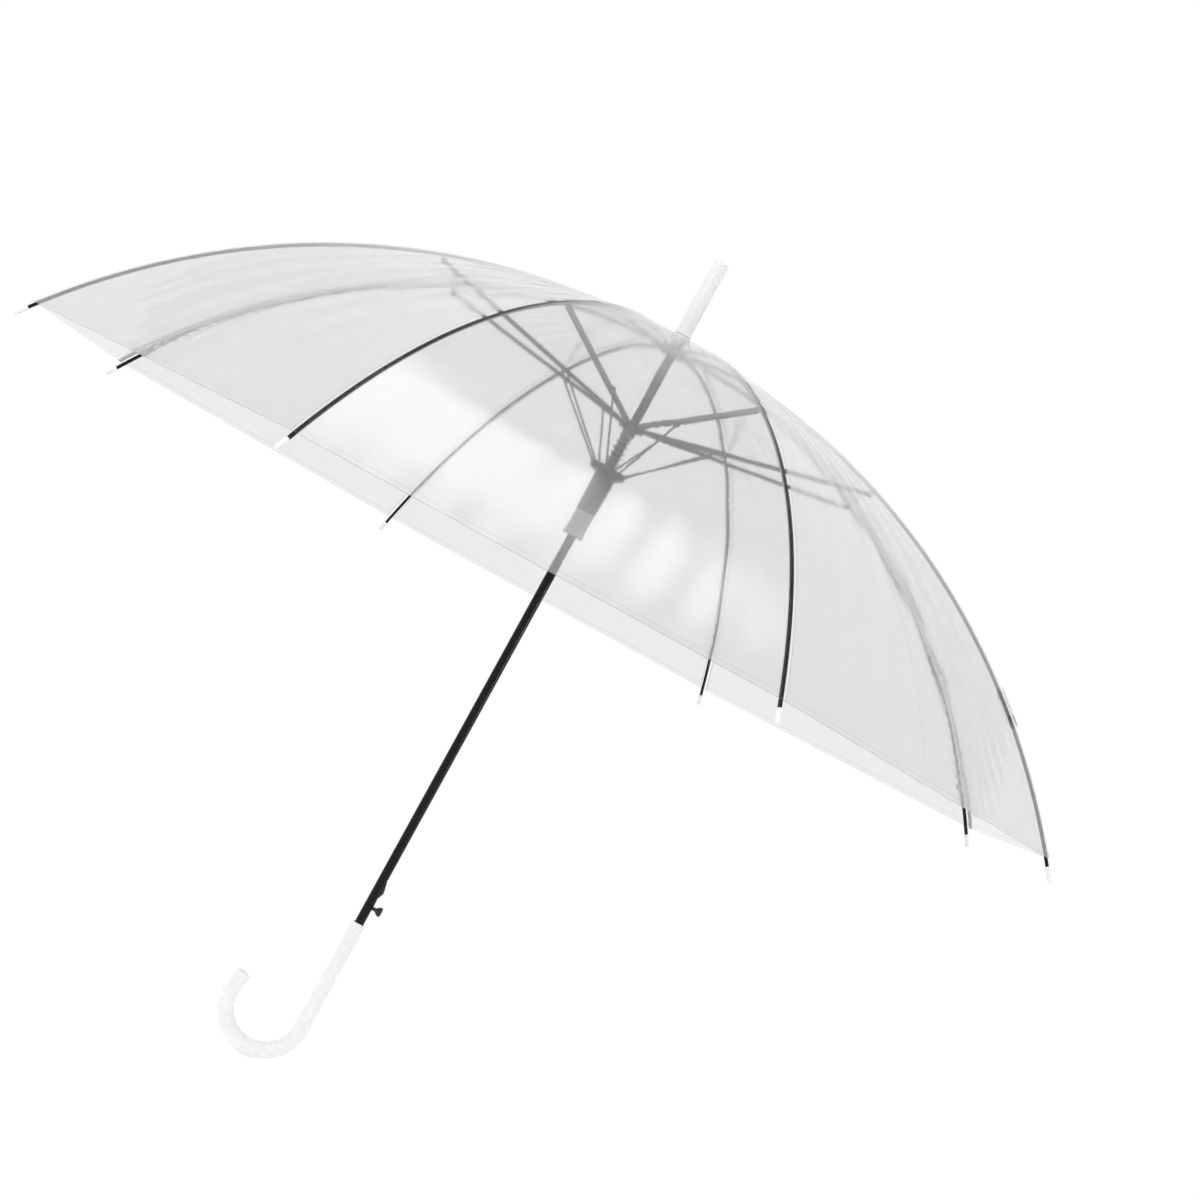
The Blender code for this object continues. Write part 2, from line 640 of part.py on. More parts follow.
def stretcher_mesh():
    """U-channel along +X from the upper runner's pivot, with a fork at the rib."""
    half_height = STRETCHER_HEIGHT / 2
    inside = STRETCHER_WIDTH / 2 - STRETCHER_WALL
    ear_radius = half_height + 0.2 * MM
    fork = Vector((STRETCHER_LENGTH, 0))
    ear = arc_points(fork, ear_radius, -math.pi / 2, math.pi / 2, 8)
    cheek = ear + [
        Vector((STRETCHER_LENGTH - EAR_LENGTH, half_height)),
        Vector((TONGUE_LENGTH, half_height)),
        Vector((TONGUE_LENGTH, -half_height)),
        Vector((STRETCHER_LENGTH - EAR_LENGTH, -half_height)),
    ]
    left = prism(cheek, inside, STRETCHER_WIDTH / 2)
    right = prism(cheek, -STRETCHER_WIDTH / 2, -inside)
    roof = box(
        (TONGUE_LENGTH + SEAM, -inside - SEAM, half_height - STRETCHER_WALL),
        (STRETCHER_LENGTH - EAR_LENGTH, inside + SEAM, half_height - SEAM),
    )
    block = box(
        (TONGUE_LENGTH + SEAM, -inside - SEAM, -half_height + SEAM),
        (TONGUE_LENGTH + TONGUE_ROOT, inside + SEAM, half_height - 2 * SEAM),
    )
    tongue = box(
        (0, -RIB_WIDTH / 2, -half_height + 2 * SEAM),
        (TONGUE_LENGTH + TONGUE_ROOT - 1 * MM, RIB_WIDTH / 2, half_height - 3 * SEAM),
    )
    thin = RIB_WIDTH / 2 - EYE_RELIEF
    eye = rod((0, -thin, 0), (0, thin, 0), EYE_RADIUS, sides=14)
    eye_hole = rod((0, -RIB_WIDTH, 0), (0, RIB_WIDTH, 0), EYE_HOLE_RADIUS)
    fork_hole = rod(
        (STRETCHER_LENGTH, -STRETCHER_WIDTH, 0),
        (STRETCHER_LENGTH, STRETCHER_WIDTH, 0),
        EYE_HOLE_RADIUS,
    )
    pin_end = STRUT_SIDE + STRUT_RADIUS + 2 * RUN_GAP
    pin = rod((STRUT_REACH, inside + 2 * SEAM, 0), (STRUT_REACH, pin_end, 0), PIN_RADIUS, sides=8)
    head_start = STRUT_SIDE + STRUT_RADIUS + RUN_GAP
    head = rod(
        (STRUT_REACH, head_start, 0),
        (STRUT_REACH, head_start + RIVET_HEAD_HEIGHT, 0),
        RIVET_HEAD_RADIUS,
        sides=8,
    )
    solid = joined(block, left, right, roof, tongue, eye, pin, head)
    return cut(solid, eye_hole, fork_hole)


def strut_mesh():
    """Wire along -X from its eye on the stretcher to the lower runner's hinge wire."""
    end = STRUT_LENGTH - PIN_RADIUS - RUN_GAP
    wire = rod((-EYE_RADIUS, STRUT_SIDE, 0), (-end, STRUT_SIDE, 0), STRUT_RADIUS, sides=8)
    thin = STRUT_RADIUS - EYE_RELIEF
    low = STRUT_SIDE - thin
    high = STRUT_SIDE + thin
    eye = rod((0, low, 0), (0, high, 0), EYE_RADIUS + 0.3 * MM, sides=14)
    hole = rod((0, low - RUN_GAP, 0), (0, high + RUN_GAP, 0), EYE_HOLE_RADIUS)
    return cut(joined(wire, eye), hole)


# ---------------------------------------------------------------- runners, spring, release


def upper_runner_mesh():
    """Runner that carries the stretchers, with a collar that the spring pushes on."""
    high = UPPER_HEIGHT + FLANGE_HEIGHT / 2
    low = UPPER_HEIGHT - FLANGE_HEIGHT / 2
    profile = [
        (BORE_RADIUS, low - COLLAR_LENGTH),
        (COLLAR_RADIUS, low - COLLAR_LENGTH),
        (COLLAR_RADIUS, low),
        (FLANGE_RADIUS, low),
        (FLANGE_RADIUS, high),
        (BORE_RADIUS, high),
    ]
    return slotted_flange(profile, UPPER_HEIGHT, HUB_RADIUS, PIVOT_RADIUS, 0, SLOT_WIDTH)


def lower_runner_mesh():
    """Long sleeve that the hand pulls, with a flange for the struts and a floor for the spring."""
    high = LOWER_HEIGHT + LOWER_FLANGE_HEIGHT / 2
    low = LOWER_HEIGHT - LOWER_FLANGE_HEIGHT / 2
    bottom = LOWER_HEIGHT - SLEEVE_LENGTH
    ring_top = bottom + SLEEVE_RING
    profile = [
        (BORE_RADIUS, bottom),
        (SLEEVE_RADIUS + SLEEVE_FLARE, bottom),
        (SLEEVE_RADIUS + SLEEVE_FLARE, ring_top),
        (SLEEVE_RADIUS, ring_top + SLEEVE_TAPER),
        (SLEEVE_RADIUS, low - FLANGE_TAPER),
        (LOWER_FLANGE_RADIUS, low),
        (LOWER_FLANGE_RADIUS, high),
        (SLEEVE_BORE_RADIUS, high),
        (SLEEVE_BORE_RADIUS, bottom + SLEEVE_FLOOR),
        (BORE_RADIUS, bottom + SLEEVE_FLOOR),
    ]
    slot = 2 * STRUT_RADIUS + 3 * RUN_GAP
    hub = SLEEVE_RADIUS + 2 * SEAM
    return slotted_flange(profile, LOWER_HEIGHT, hub, LOWER_PIVOT_RADIUS, STRUT_SIDE, slot)


def spring_curve():
    """Compression spring round the shaft, from the sleeve's floor to the upper runner."""
    bottom = LOWER_HEIGHT - SLEEVE_LENGTH + SLEEVE_FLOOR + FIT_GAP + SPRING_WIRE_RADIUS
    top = UPPER_HEIGHT - FLANGE_HEIGHT / 2 - COLLAR_LENGTH - FIT_GAP - SPRING_WIRE_RADIUS
    curve = bpy.data.curves.new("spring", "CURVE")
    curve.dimensions = "3D"
    curve.bevel_depth = SPRING_WIRE_RADIUS
    curve.bevel_resolution = 1
    curve.use_fill_caps = True
    count = 10 * SPRING_TURNS
    line = curve.splines.new("POLY")
    line.points.add(count)
    for i, share in enumerate(steps(0, 1, count)):
        turn = 2 * math.pi * SPRING_TURNS * share
        height = bottom + (top - bottom) * share
        place = (SPRING_RADIUS * math.cos(turn), SPRING_RADIUS * math.sin(turn), height, 1)
        line.points[i].co = place
    return curve


def button_mesh():
    """Round button on a stem; a foot keeps it inside the shaft."""
    head_start = SHAFT_RADIUS + BUTTON_TRAVEL + FIT_GAP
    end = head_start + BUTTON_LENGTH
    foot_end = SHAFT_RADIUS - SHAFT_WALL - BUTTON_FOOT_DEPTH
    profile = [
        (0, foot_end - BUTTON_FOOT_THICKNESS),
        (BUTTON_FOOT_RADIUS, foot_end - BUTTON_FOOT_THICKNESS),
        (BUTTON_FOOT_RADIUS, foot_end),
        (BUTTON_STEM_RADIUS, foot_end),
        (BUTTON_STEM_RADIUS, head_start),
        (BUTTON_RADIUS - BUTTON_NECK, head_start),
        (BUTTON_RADIUS, head_start + BUTTON_EDGE),
        (BUTTON_RADIUS, end - BUTTON_EDGE),
        (BUTTON_RADIUS - BUTTON_EDGE, end),
        (0, end),
    ]
    mesh = turned(profile, sides=16)
    mesh.transform(Matrix.Rotation(math.pi / 2, 4, "Y"))
    return mesh


def catch_mesh():
    """Flat latch whose hump stands out of the shaft's window."""
    bottom = CATCH_BOTTOM + RUN_GAP
    top = CATCH_BOTTOM + CATCH_LENGTH - RUN_GAP
    inside = SHAFT_RADIUS - SHAFT_WALL - CATCH_WALL_GAP
    back = inside - CATCH_DEPTH
    peak = bottom + (top - bottom) * CATCH_PEAK
    outline = [
        (back, bottom - CATCH_FOOT),
        (inside, bottom - CATCH_FOOT),
        (inside, bottom),
        (SHAFT_RADIUS, bottom),
        (SHAFT_RADIUS + CATCH_RISE, peak),
        (SHAFT_RADIUS, top),
        (inside, top),
        (inside, top + CATCH_FOOT),
        (back, top + CATCH_FOOT),
    ]
    return prism(outline, -CATCH_WIDTH / 2, CATCH_WIDTH / 2)


def strap_mesh():
    """Short closing strap with a round snap, lying on the film along its rib."""
    half = STRAP_LENGTH / 2
    width = STRAP_WIDTH / 2
    low = STRAP_THICKNESS / 2
    band = box((-half, -width, -low), (half, width, low))
    snap = rod((half - width, 0, 0), (half - width, 0, low + SNAP_HEIGHT), SNAP_RADIUS, sides=12)
    return joined(band, snap)


# ---------------------------------------------------------------- assembly


def build():
    for thing in list(bpy.data.objects):
        bpy.data.objects.remove(thing)

    black_steel = material("black_steel", (0.012, 0.012, 0.014), 0.3, 0.6)
    grey_steel = material("grey_steel", (0.32, 0.32, 0.33), 0.35, 0.8)
    film = material("clear_film", (0.8, 0.82, 0.84), 0.15, alpha=0.35)
    white = material("white_plastic", (0.86, 0.87, 0.88), 0.25)
    black = material("black_plastic", (0.02, 0.02, 0.022), 0.4)
    smoke = material("smoke_plastic", (0.35, 0.36, 0.37), 0.3)

    shaft = add("shaft", shaft_mesh(), black_steel)
    add("handle", handle_mesh(), white, shaft)
    add("ferrule", ferrule_mesh(), white, shaft)
    add("top_cap", top_cap_mesh(), white, shaft)
    crown = add("crown", crown_mesh(), black, shaft)
    add("canopy", canopy_mesh(), film, shaft)
    add("release_button", button_mesh(), black, shaft, (0, 0, BUTTON_HEIGHT))
    add("runner_catch", catch_mesh(), black, shaft)
    upper = add("upper_runner", upper_runner_mesh(), black, shaft)
    lower = add("lower_runner", lower_runner_mesh(), smoke, upper)
    add("opening_spring", spring_curve(), grey_steel, lower)

    inner_rib = inner_rib_mesh()
    middle_rib = rib_length_mesh(FIRST_BEND_ANGLE, SECOND_BEND_ANGLE)
    outer_rib = outer_rib_mesh()
    tip = tip_mesh()
    stretcher = stretcher_mesh()
    strut = strut_mesh()
    first_bend = rib_line(FIRST_BEND_ANGLE)
    second_bend = rib_line(SECOND_BEND_ANGLE)
    rib_end = tip_place() + tip_direction() * (FIT_GAP - RIB_END_GAP)
    lug = dome_point(RIB_ARC_RADIUS - LUG_DROP, LUG_ANGLE)
    ends = {}
    for index in range(1, RIB_COUNT + 1):
        name = f"rib_{index}"
        axis = bpy.data.objects.new(f"{name}_plane", None)
        bpy.context.scene.collection.objects.link(axis)
        axis.rotation_euler = (0, 0, rib_angle(index))
        axis.parent = crown
        origin = crown_pivot()
        place = (origin.x, 0, origin.y)
        inner = add(f"{name}_inner", inner_rib, black_steel, axis, place)
        bend = first_bend - origin
        middle = add(f"{name}_middle", middle_rib, black_steel, inner, (bend.x, 0, bend.y))
        bend = second_bend - first_bend
        outer = add(f"{name}_outer", outer_rib, black_steel, middle, (bend.x, 0, bend.y))
        place = rib_end - second_bend
        add(f"{name}_tip", tip, white, outer, (place.x, 0, place.y), pitch=RIB_END_ANGLE)
        place = (lug.x - origin.x, 0, lug.y - origin.y)
        fork = bpy.data.objects.new(f"stretcher_{index}_pin", None)
        bpy.context.scene.collection.objects.link(fork)
        fork.parent = inner
        fork.location = place
        fork.rotation_euler = (0, -STRETCHER_RISE, 0)
        arm = add(f"stretcher_{index}", stretcher, grey_steel, fork, (-STRETCHER_LENGTH, 0, 0))
        pitch = STRETCHER_RISE - (math.pi / 2 - STRUT_LEAN)
        add(f"strut_{index}", strut, grey_steel, arm, (STRUT_REACH, 0, 0), pitch=pitch)
        ends[index] = outer

    angle = RIM_ANGLE * STRAP_PLACE
    lift = FILM_THICKNESS / 2 + 2 * FIT_GAP + STRAP_THICKNESS / 2
    bulge = STRAP_LENGTH ** 2 / (8 * DOME_RADIUS)
    place = dome_point(DOME_RADIUS + lift + bulge, angle) - second_bend
    holder = ends[STRAP_RIB]
    add("tie_strap", strap_mesh(), film, holder, (place.x, 0, place.y), pitch=angle)


build()
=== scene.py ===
"""Looks of the clear-film stick umbrella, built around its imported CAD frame."""

import json
import math

import bmesh
import bpy
from mathutils import Matrix, Vector


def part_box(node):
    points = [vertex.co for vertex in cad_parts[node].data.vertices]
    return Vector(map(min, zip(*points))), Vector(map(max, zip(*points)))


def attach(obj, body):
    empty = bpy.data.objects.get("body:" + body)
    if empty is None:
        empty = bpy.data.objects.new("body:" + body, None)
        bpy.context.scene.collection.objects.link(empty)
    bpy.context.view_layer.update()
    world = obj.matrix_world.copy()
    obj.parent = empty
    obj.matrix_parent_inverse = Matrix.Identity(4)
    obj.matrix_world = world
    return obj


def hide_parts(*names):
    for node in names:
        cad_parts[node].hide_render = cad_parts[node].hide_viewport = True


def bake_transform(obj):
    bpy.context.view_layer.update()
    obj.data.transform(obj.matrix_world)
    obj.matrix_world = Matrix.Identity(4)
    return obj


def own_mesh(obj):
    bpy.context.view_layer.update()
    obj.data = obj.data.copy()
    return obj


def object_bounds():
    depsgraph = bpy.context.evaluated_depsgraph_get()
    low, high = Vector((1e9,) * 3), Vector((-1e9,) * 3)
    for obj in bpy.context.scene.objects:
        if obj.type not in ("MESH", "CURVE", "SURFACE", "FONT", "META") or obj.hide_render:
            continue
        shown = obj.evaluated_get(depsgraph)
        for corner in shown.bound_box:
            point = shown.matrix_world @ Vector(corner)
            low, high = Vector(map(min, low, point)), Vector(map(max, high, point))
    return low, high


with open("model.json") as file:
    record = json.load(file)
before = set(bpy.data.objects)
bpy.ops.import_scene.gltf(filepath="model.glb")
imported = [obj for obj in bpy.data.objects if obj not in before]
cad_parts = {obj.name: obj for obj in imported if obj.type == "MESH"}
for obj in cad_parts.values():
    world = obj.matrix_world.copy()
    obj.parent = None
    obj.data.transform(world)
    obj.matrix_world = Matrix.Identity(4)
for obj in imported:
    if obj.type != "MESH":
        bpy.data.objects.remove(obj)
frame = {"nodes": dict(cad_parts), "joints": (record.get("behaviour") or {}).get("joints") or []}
cad_low, cad_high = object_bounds()

MM = 0.001
UP = Vector((0, 0, 1))

# ---------------------------------------------------------------- sizes from the frame

RIB_COUNT = 8
HALF_STEP = math.pi / RIB_COUNT
FIRST_RIB_ANGLE = HALF_STEP

canopy_low, canopy_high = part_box("canopy")
RIM_RADIUS = canopy_high.x / math.cos(FIRST_RIB_ANGLE)
RIM_HEIGHT = canopy_low.z
DOME_RISE = canopy_high.z - RIM_HEIGHT
DOME_RADIUS = (RIM_RADIUS ** 2 + DOME_RISE ** 2) / (2 * DOME_RISE)
DOME_CENTRE = canopy_high.z - DOME_RADIUS
RIM_ANGLE = math.asin(RIM_RADIUS / DOME_RADIUS)

FILM_HOLE_RADIUS = 5.2 * MM
FILM_THICKNESS = 0.16 * MM
HEM_WIDTH = 4.5 * MM
HEM_THICKNESS = 0.34 * MM
WELD_WIDTH = 3.2 * MM           # film held tight on the rib, each side of its middle
WELD_BEAD = 0.8 * MM

RIB_WIDTH = 2.2 * MM
RIB_HEIGHT = 2.6 * MM
RIB_FILM_GAP = 0.9 * MM
RIB_ARC_RADIUS = DOME_RADIUS - RIB_FILM_GAP - RIB_HEIGHT / 2 - 0.1 * MM

joints = {joint["name"]: joint for joint in frame["joints"]}


def out_and_up(point):
    """Distance from the shaft's axis and height."""
    return Vector((math.hypot(point[0], point[1]), point[2]))


CROWN_PIVOT = out_and_up(joints["rib_1_fold"]["pos_m"])
FIRST_BEND = out_and_up(joints["rib_1_first_bend"]["pos_m"])
SECOND_BEND = out_and_up(joints["rib_1_second_bend"]["pos_m"])
FIRST_BEND_ANGLE = math.atan2(FIRST_BEND.x, FIRST_BEND.y - DOME_CENTRE)
SECOND_BEND_ANGLE = math.atan2(SECOND_BEND.x, SECOND_BEND.y - DOME_CENTRE)


def rib_angle(index):
    return FIRST_RIB_ANGLE + (index - 1) * 2 * HALF_STEP


def across(angle):
    """Directions away from the shaft and to the left of it, for one azimuth."""
    away = Vector((math.cos(angle), math.sin(angle), 0))
    left = Vector((-math.sin(angle), math.cos(angle), 0))
    return away, left


# ---------------------------------------------------------------- mesh tools


def mesh_object(name, vertices, faces, materials, smooth_angle=35):
    """A mesh object, shaded smooth up to an angle."""
    mesh = bpy.data.meshes.new(name)
    mesh.from_pydata(vertices, [], faces)
    for finish in materials:
        mesh.materials.append(finish)
    made = bpy.data.objects.new(name, mesh)
    bpy.context.scene.collection.objects.link(made)
    mesh.shade_smooth()
    mesh.set_sharp_from_angle(angle=math.radians(smooth_angle))
    return made


def steps(start, end, count):
    return [start + (end - start) * i / count for i in range(count + 1)]


# ---------------------------------------------------------------- materials


def new_material(name):
    made = bpy.data.materials.new(name)
    made.use_nodes = True
    return made, made.node_tree.nodes, made.node_tree.links


def noise(nodes, links, scale, detail=2.0):
    """Noise over the piece's own coordinates, as the output that carries it."""
    place = nodes.new("ShaderNodeTexCoord")
    made = nodes.new("ShaderNodeTexNoise")
    made.inputs["Scale"].default_value = scale
    made.inputs["Detail"].default_value = detail
    links.new(place.outputs["Object"], made.inputs["Vector"])
    return made.outputs["Fac"]


def ranged(nodes, links, source, ends, limits=(0.0, 1.0), smooth=False):
    """A value mapped from its limits to two ends."""
    made = nodes.new("ShaderNodeMapRange")
    if smooth:
        made.interpolation_type = "SMOOTHSTEP"
    made.inputs["From Min"].default_value, made.inputs["From Max"].default_value = limits
    made.inputs["To Min"].default_value, made.inputs["To Max"].default_value = ends
    links.new(source, made.inputs["Value"])
    return made.outputs["Result"]


def tinted(nodes, links, source, colour, darker, lighter):
    """A colour that varies between a darker and a lighter share of itself."""
    mix = nodes.new("ShaderNodeMix")
    mix.data_type = "RGBA"
    mix.inputs["A"].default_value = (*[c * darker for c in colour], 1)
    mix.inputs["B"].default_value = (*[min(1.0, c * lighter) for c in colour], 1)
    links.new(source, mix.inputs["Factor"])
    return mix.outputs["Result"]


PATCH_SCALE = 60.0          # colour patches of the moulded and painted pieces
HAZE_SCALE = 9.0            # broad cloudiness of the film


def plastic(name, colour, roughness, bump=0.05, scale=900.0, **sockets):
    """A moulded finish: fine grain in roughness and bump, with a little colour variation."""
    made, nodes, links = new_material(name)
    shader = nodes["Principled BSDF"]
    grain = noise(nodes, links, scale, detail=3.0)
    rough = ranged(nodes, links, grain, (roughness * 0.8, roughness * 1.25))
    links.new(rough, shader.inputs["Roughness"])
    patches = noise(nodes, links, PATCH_SCALE)
    links.new(tinted(nodes, links, patches, colour, 0.94, 1.05), shader.inputs["Base Color"])
    lift = nodes.new("ShaderNodeBump")
    lift.inputs["Strength"].default_value = bump
    lift.inputs["Distance"].default_value = 0.1 * MM
    links.new(grain, lift.inputs["Height"])
    links.new(lift.outputs["Normal"], shader.inputs["Normal"])
    for socket, value in sockets.items():
        shader.inputs[socket.replace("_", " ")].default_value = value
    return made


def film_material(name, transmission, colour, roughness, refraction):
    """Thin clear film: mostly see-through, slightly cloudy, with a glossy skin."""
    made, nodes, links = new_material(name)
    shader = nodes["Principled BSDF"]
    shader.inputs["Transmission Weight"].default_value = transmission
    shader.inputs["IOR"].default_value = refraction
    haze = noise(nodes, links, HAZE_SCALE)
    links.new(tinted(nodes, links, haze, colour, 0.98, 1.02), shader.inputs["Base Color"])
    rough = ranged(nodes, links, haze, (roughness * 0.6, roughness * 1.4))
    links.new(rough, shader.inputs["Roughness"])
    return made


FILM = film_material("clear_film", 0.92, (0.86, 0.865, 0.87), 0.035, 1.45)
FILM_ON_RIB = film_material("film_on_rib", 1.0, (0.97, 0.97, 0.97), 0.02, 1.12)
FILM_BEAD = film_material("film_weld_bead", 0.75, (0.75, 0.755, 0.76), 0.08, 1.45)
BLACK_PAINT = plastic(
    "black_paint", (0.003, 0.003, 0.0033), 0.24, bump=0.008, scale=260.0, Specular_IOR_Level=0.2
)
DARK_STEEL = plastic("dark_steel", (0.055, 0.056, 0.058), 0.34, scale=1400.0, Metallic=0.85)
SPRING_STEEL = plastic("spring_steel", (0.16, 0.16, 0.165), 0.3, scale=1800.0, Metallic=1.0)
WHITE_PLASTIC = plastic("white_plastic", (0.82, 0.825, 0.83), 0.26, bump=0.015, scale=260.0)
BLACK_PLASTIC = plastic("black_plastic", (0.018, 0.018, 0.020), 0.42, scale=1100.0)
RUNNER_PLASTIC = plastic("runner_plastic", (0.24, 0.25, 0.25), 0.3, bump=0.02, scale=300.0)

# ---------------------------------------------------------------- film


def film_frame(index, side):
    """For the half gore on one side of a rib: the rib's azimuth and the way to the next rib."""
    away, left = across(rib_angle(index))
    way = side * left * math.cos(HALF_STEP) - away * math.sin(HALF_STEP)
    return away, way


def half_chord(angle):
    """Distance along the film, square to the shaft, from a rib to the middle of the gore."""
    return DOME_RADIUS * math.sin(angle) * math.sin(HALF_STEP)


LONG_WAVE = 62 * MM             # ripples along the rib
SHORT_WAVE = 38 * MM
PLEAT_WAVE = 44 * MM            # ripples across the gore
PLEATS_PER_GORE = 9
FULL_RIPPLE_SPAN = 120 * MM     # narrower parts of a gore ripple less
SLACK = 1.2                     # mm, how far the middle of a gore sinks


def ripple(gore, angle, share):
    """How far the film stands off its tight shape; share runs from one rib (0) to the next (1)."""
    from_rim = DOME_RADIUS * (RIM_ANGLE - angle)
    span = 2 * half_chord(angle)
    hold = math.sin(math.pi * share)
    shift = 1.7 * gore
    waves = 0.24 * math.sin(2 * math.pi * from_rim / LONG_WAVE + shift + 2.2 * share)
    waves += 0.09 * math.sin(2 * math.pi * from_rim / SHORT_WAVE + 2.3 * shift - 3.0 * share)
    waves *= 0.35 + 0.65 * math.sin(1.3 * shift + 5.0 * angle + 2.0 * share) ** 2
    pleats = 0.20 * math.sin(2 * math.pi * share * span / PLEAT_WAVE + shift)
    pleats += 0.16 * math.sin(2 * math.pi * (share - 0.5) * PLEATS_PER_GORE + 3 * shift + 2 * angle)
    slack = SLACK * math.sin(math.pi * angle / RIM_ANGLE)
    fade = min(1.0, span / FULL_RIPPLE_SPAN)
    return MM * hold * fade * (waves + pleats - slack)


def film_point(index, side, angle, reach):
    """A point on the middle of the film; reach is the distance from the rib along the gore."""
    away, way = film_frame(index, side)
    height = DOME_CENTRE + DOME_RADIUS * math.cos(angle)
    on_rib = away * DOME_RADIUS * math.sin(angle) + UP * height
    gore = index if side > 0 else (index - 2) % RIB_COUNT + 1
    share = reach / (2 * half_chord(angle))
    share = share if side > 0 else 1 - share
    middle = (away * math.cos(HALF_STEP) + way.cross(UP) * side * math.sin(HALF_STEP)).normalized()
    facing = (middle * math.sin(angle) + UP * math.cos(HALF_STEP) * math.cos(angle)).normalized()
    return on_rib + way * reach + facing * ripple(gore, angle, share)


def film_normal(index, side, angle, reach):
    """Outward direction of the film at a point."""
    small = 0.2 * MM
    turn = small / DOME_RADIUS
    here = film_point(index, side, angle, reach)
    along = film_point(index, side, angle + turn, reach) - here
    over = film_point(index, side, angle, reach + small) - here
    normal = over.cross(along) * -side
    return normal.normalized() if normal.z > 0 else -normal.normalized()


# Start and end on the dome, and the share of its width that the film keeps when folded.
FILM_LENGTHS = {
    "inner": (math.asin(FILM_HOLE_RADIUS / DOME_RADIUS), FIRST_BEND_ANGLE, 0.115),
    "middle": (FIRST_BEND_ANGLE, SECOND_BEND_ANGLE, 0.095),
    "outer": (SECOND_BEND_ANGLE, RIM_ANGLE, 0.08),
}
FILM_ROWS = 18
FILM_COLUMNS = 22
COLUMNS = FILM_COLUMNS + 3      # with the two of the weld and the one on the rib
HEM_START = RIM_ANGLE - HEM_WIDTH / DOME_RADIUS
HEM_STEP = 0.0006               # angle over which the film thickens into the hem
ROW_CLEARANCE = 0.004           # no other row is this near to the hem's start
PLAIN, ON_RIB, BEAD = 0, 1, 2   # the film's material slots


def film_rows(start, end):
    """Angles of the rows of film points, with a step where the hem starts."""
    rows = steps(start, end, FILM_ROWS)
    if end >= RIM_ANGLE:
        rows = [angle for angle in rows if abs(angle - HEM_START) > ROW_CLEARANCE and angle < RIM_ANGLE]
        rows += [HEM_START - HEM_STEP, HEM_START, RIM_ANGLE]
        rows.sort()
    return rows


def film_grid(index, side, rows):
    """Rows of points on the middle of the film, each with its outward direction and half thickness."""
    grid = []
    for angle in rows:
        chord = half_chord(angle)
        held = min(WELD_WIDTH, 0.4 * chord)
        bead = min(WELD_WIDTH + WELD_BEAD, 0.5 * chord)
        thickness = HEM_THICKNESS if angle > HEM_START - HEM_STEP / 2 else FILM_THICKNESS
        for reach in [0.0, held, bead] + steps(bead, chord, FILM_COLUMNS)[1:]:
            point = film_point(index, side, angle, reach)
            normal = film_normal(index, side, angle, min(reach, chord * 0.9999))
            grid.append((point, normal, thickness / 2))
    return grid


def film_slot(column, on_hem_line):
    """The film held on the rib, the weld's bead and the hem's line differ from the plain film."""
    if column == 0:
        return ON_RIB
    return BEAD if column == 1 or on_hem_line else PLAIN


def film_faces(row_count, side, has_hem):
    """Faces and slots of the closed shell: both skins, then the wall around them; and the wall's size."""
    count = row_count * COLUMNS
    faces = []
    slots = []
    for row in range(row_count - 1):
        on_hem_line = has_hem and row == row_count - 3
        for column in range(COLUMNS - 1):
            a = row * COLUMNS + column
            upper = (a, a + 1, a + COLUMNS + 1, a + COLUMNS)
            if side > 0:
                upper = upper[::-1]
            lower = tuple(count + corner for corner in reversed(upper))
            faces += [upper, lower]
            slots += [film_slot(column, on_hem_line)] * 2
    on_rib = [row * COLUMNS for row in range(row_count)]
    far = [start + COLUMNS - 1 for start in on_rib]
    last = [on_rib[-1] + column for column in range(COLUMNS)]
    loop = list(range(COLUMNS)) + far[1:] + last[-2::-1] + on_rib[-2:0:-1]
    for a, b in zip(loop, loop[1:] + loop[:1]):
        wall = (b, a, a + count, b + count)
        faces.append(wall if side < 0 else wall[::-1])
        slots.append(PLAIN)
    return faces, slots, len(loop)


def set_film_normals(mesh, grid, wall_start):
    """Shade both skins by the film's own directions, and the wall flat."""
    corner_normals = []
    for polygon in mesh.polygons:
        for corner in polygon.vertices:
            if polygon.index >= wall_start:
                corner_normals.append(polygon.normal)
            elif corner < len(grid):
                corner_normals.append(grid[corner][1])
            else:
                corner_normals.append(-grid[corner - len(grid)][1])
    mesh.normals_split_custom_set(corner_normals)


def film_piece(index, length_name, side):
    """Half a gore along one length of its rib, as a thin closed shell."""
    start, end, keep = FILM_LENGTHS[length_name]
    rows = film_rows(start, end)
    grid = film_grid(index, side, rows)
    faces, slots, wall_size = film_faces(len(rows), side, end >= RIM_ANGLE)
    outer = [point + normal * half for point, normal, half in grid]
    inner = [point - normal * half for point, normal, half in grid]
    name = f"film_{index}_{length_name}_{'left' if side > 0 else 'right'}"
    made = mesh_object(name, outer + inner, faces, [FILM, FILM_ON_RIB, FILM_BEAD])
    made.data.polygons.foreach_set("material_index", slots)
    set_film_normals(made.data, grid, len(faces) - wall_size)
    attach(made, f"rib_{index}_{length_name}")
    middle = (start + end) / 2
    anchor = film_point(index, side, middle, 0)
    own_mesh(made)
    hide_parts("canopy")


for rib in range(1, RIB_COUNT + 1):
    for length in FILM_LENGTHS:
        film_piece(rib, length, 1)
        film_piece(rib, length, -1)

# ---------------------------------------------------------------- turned and lofted shapes


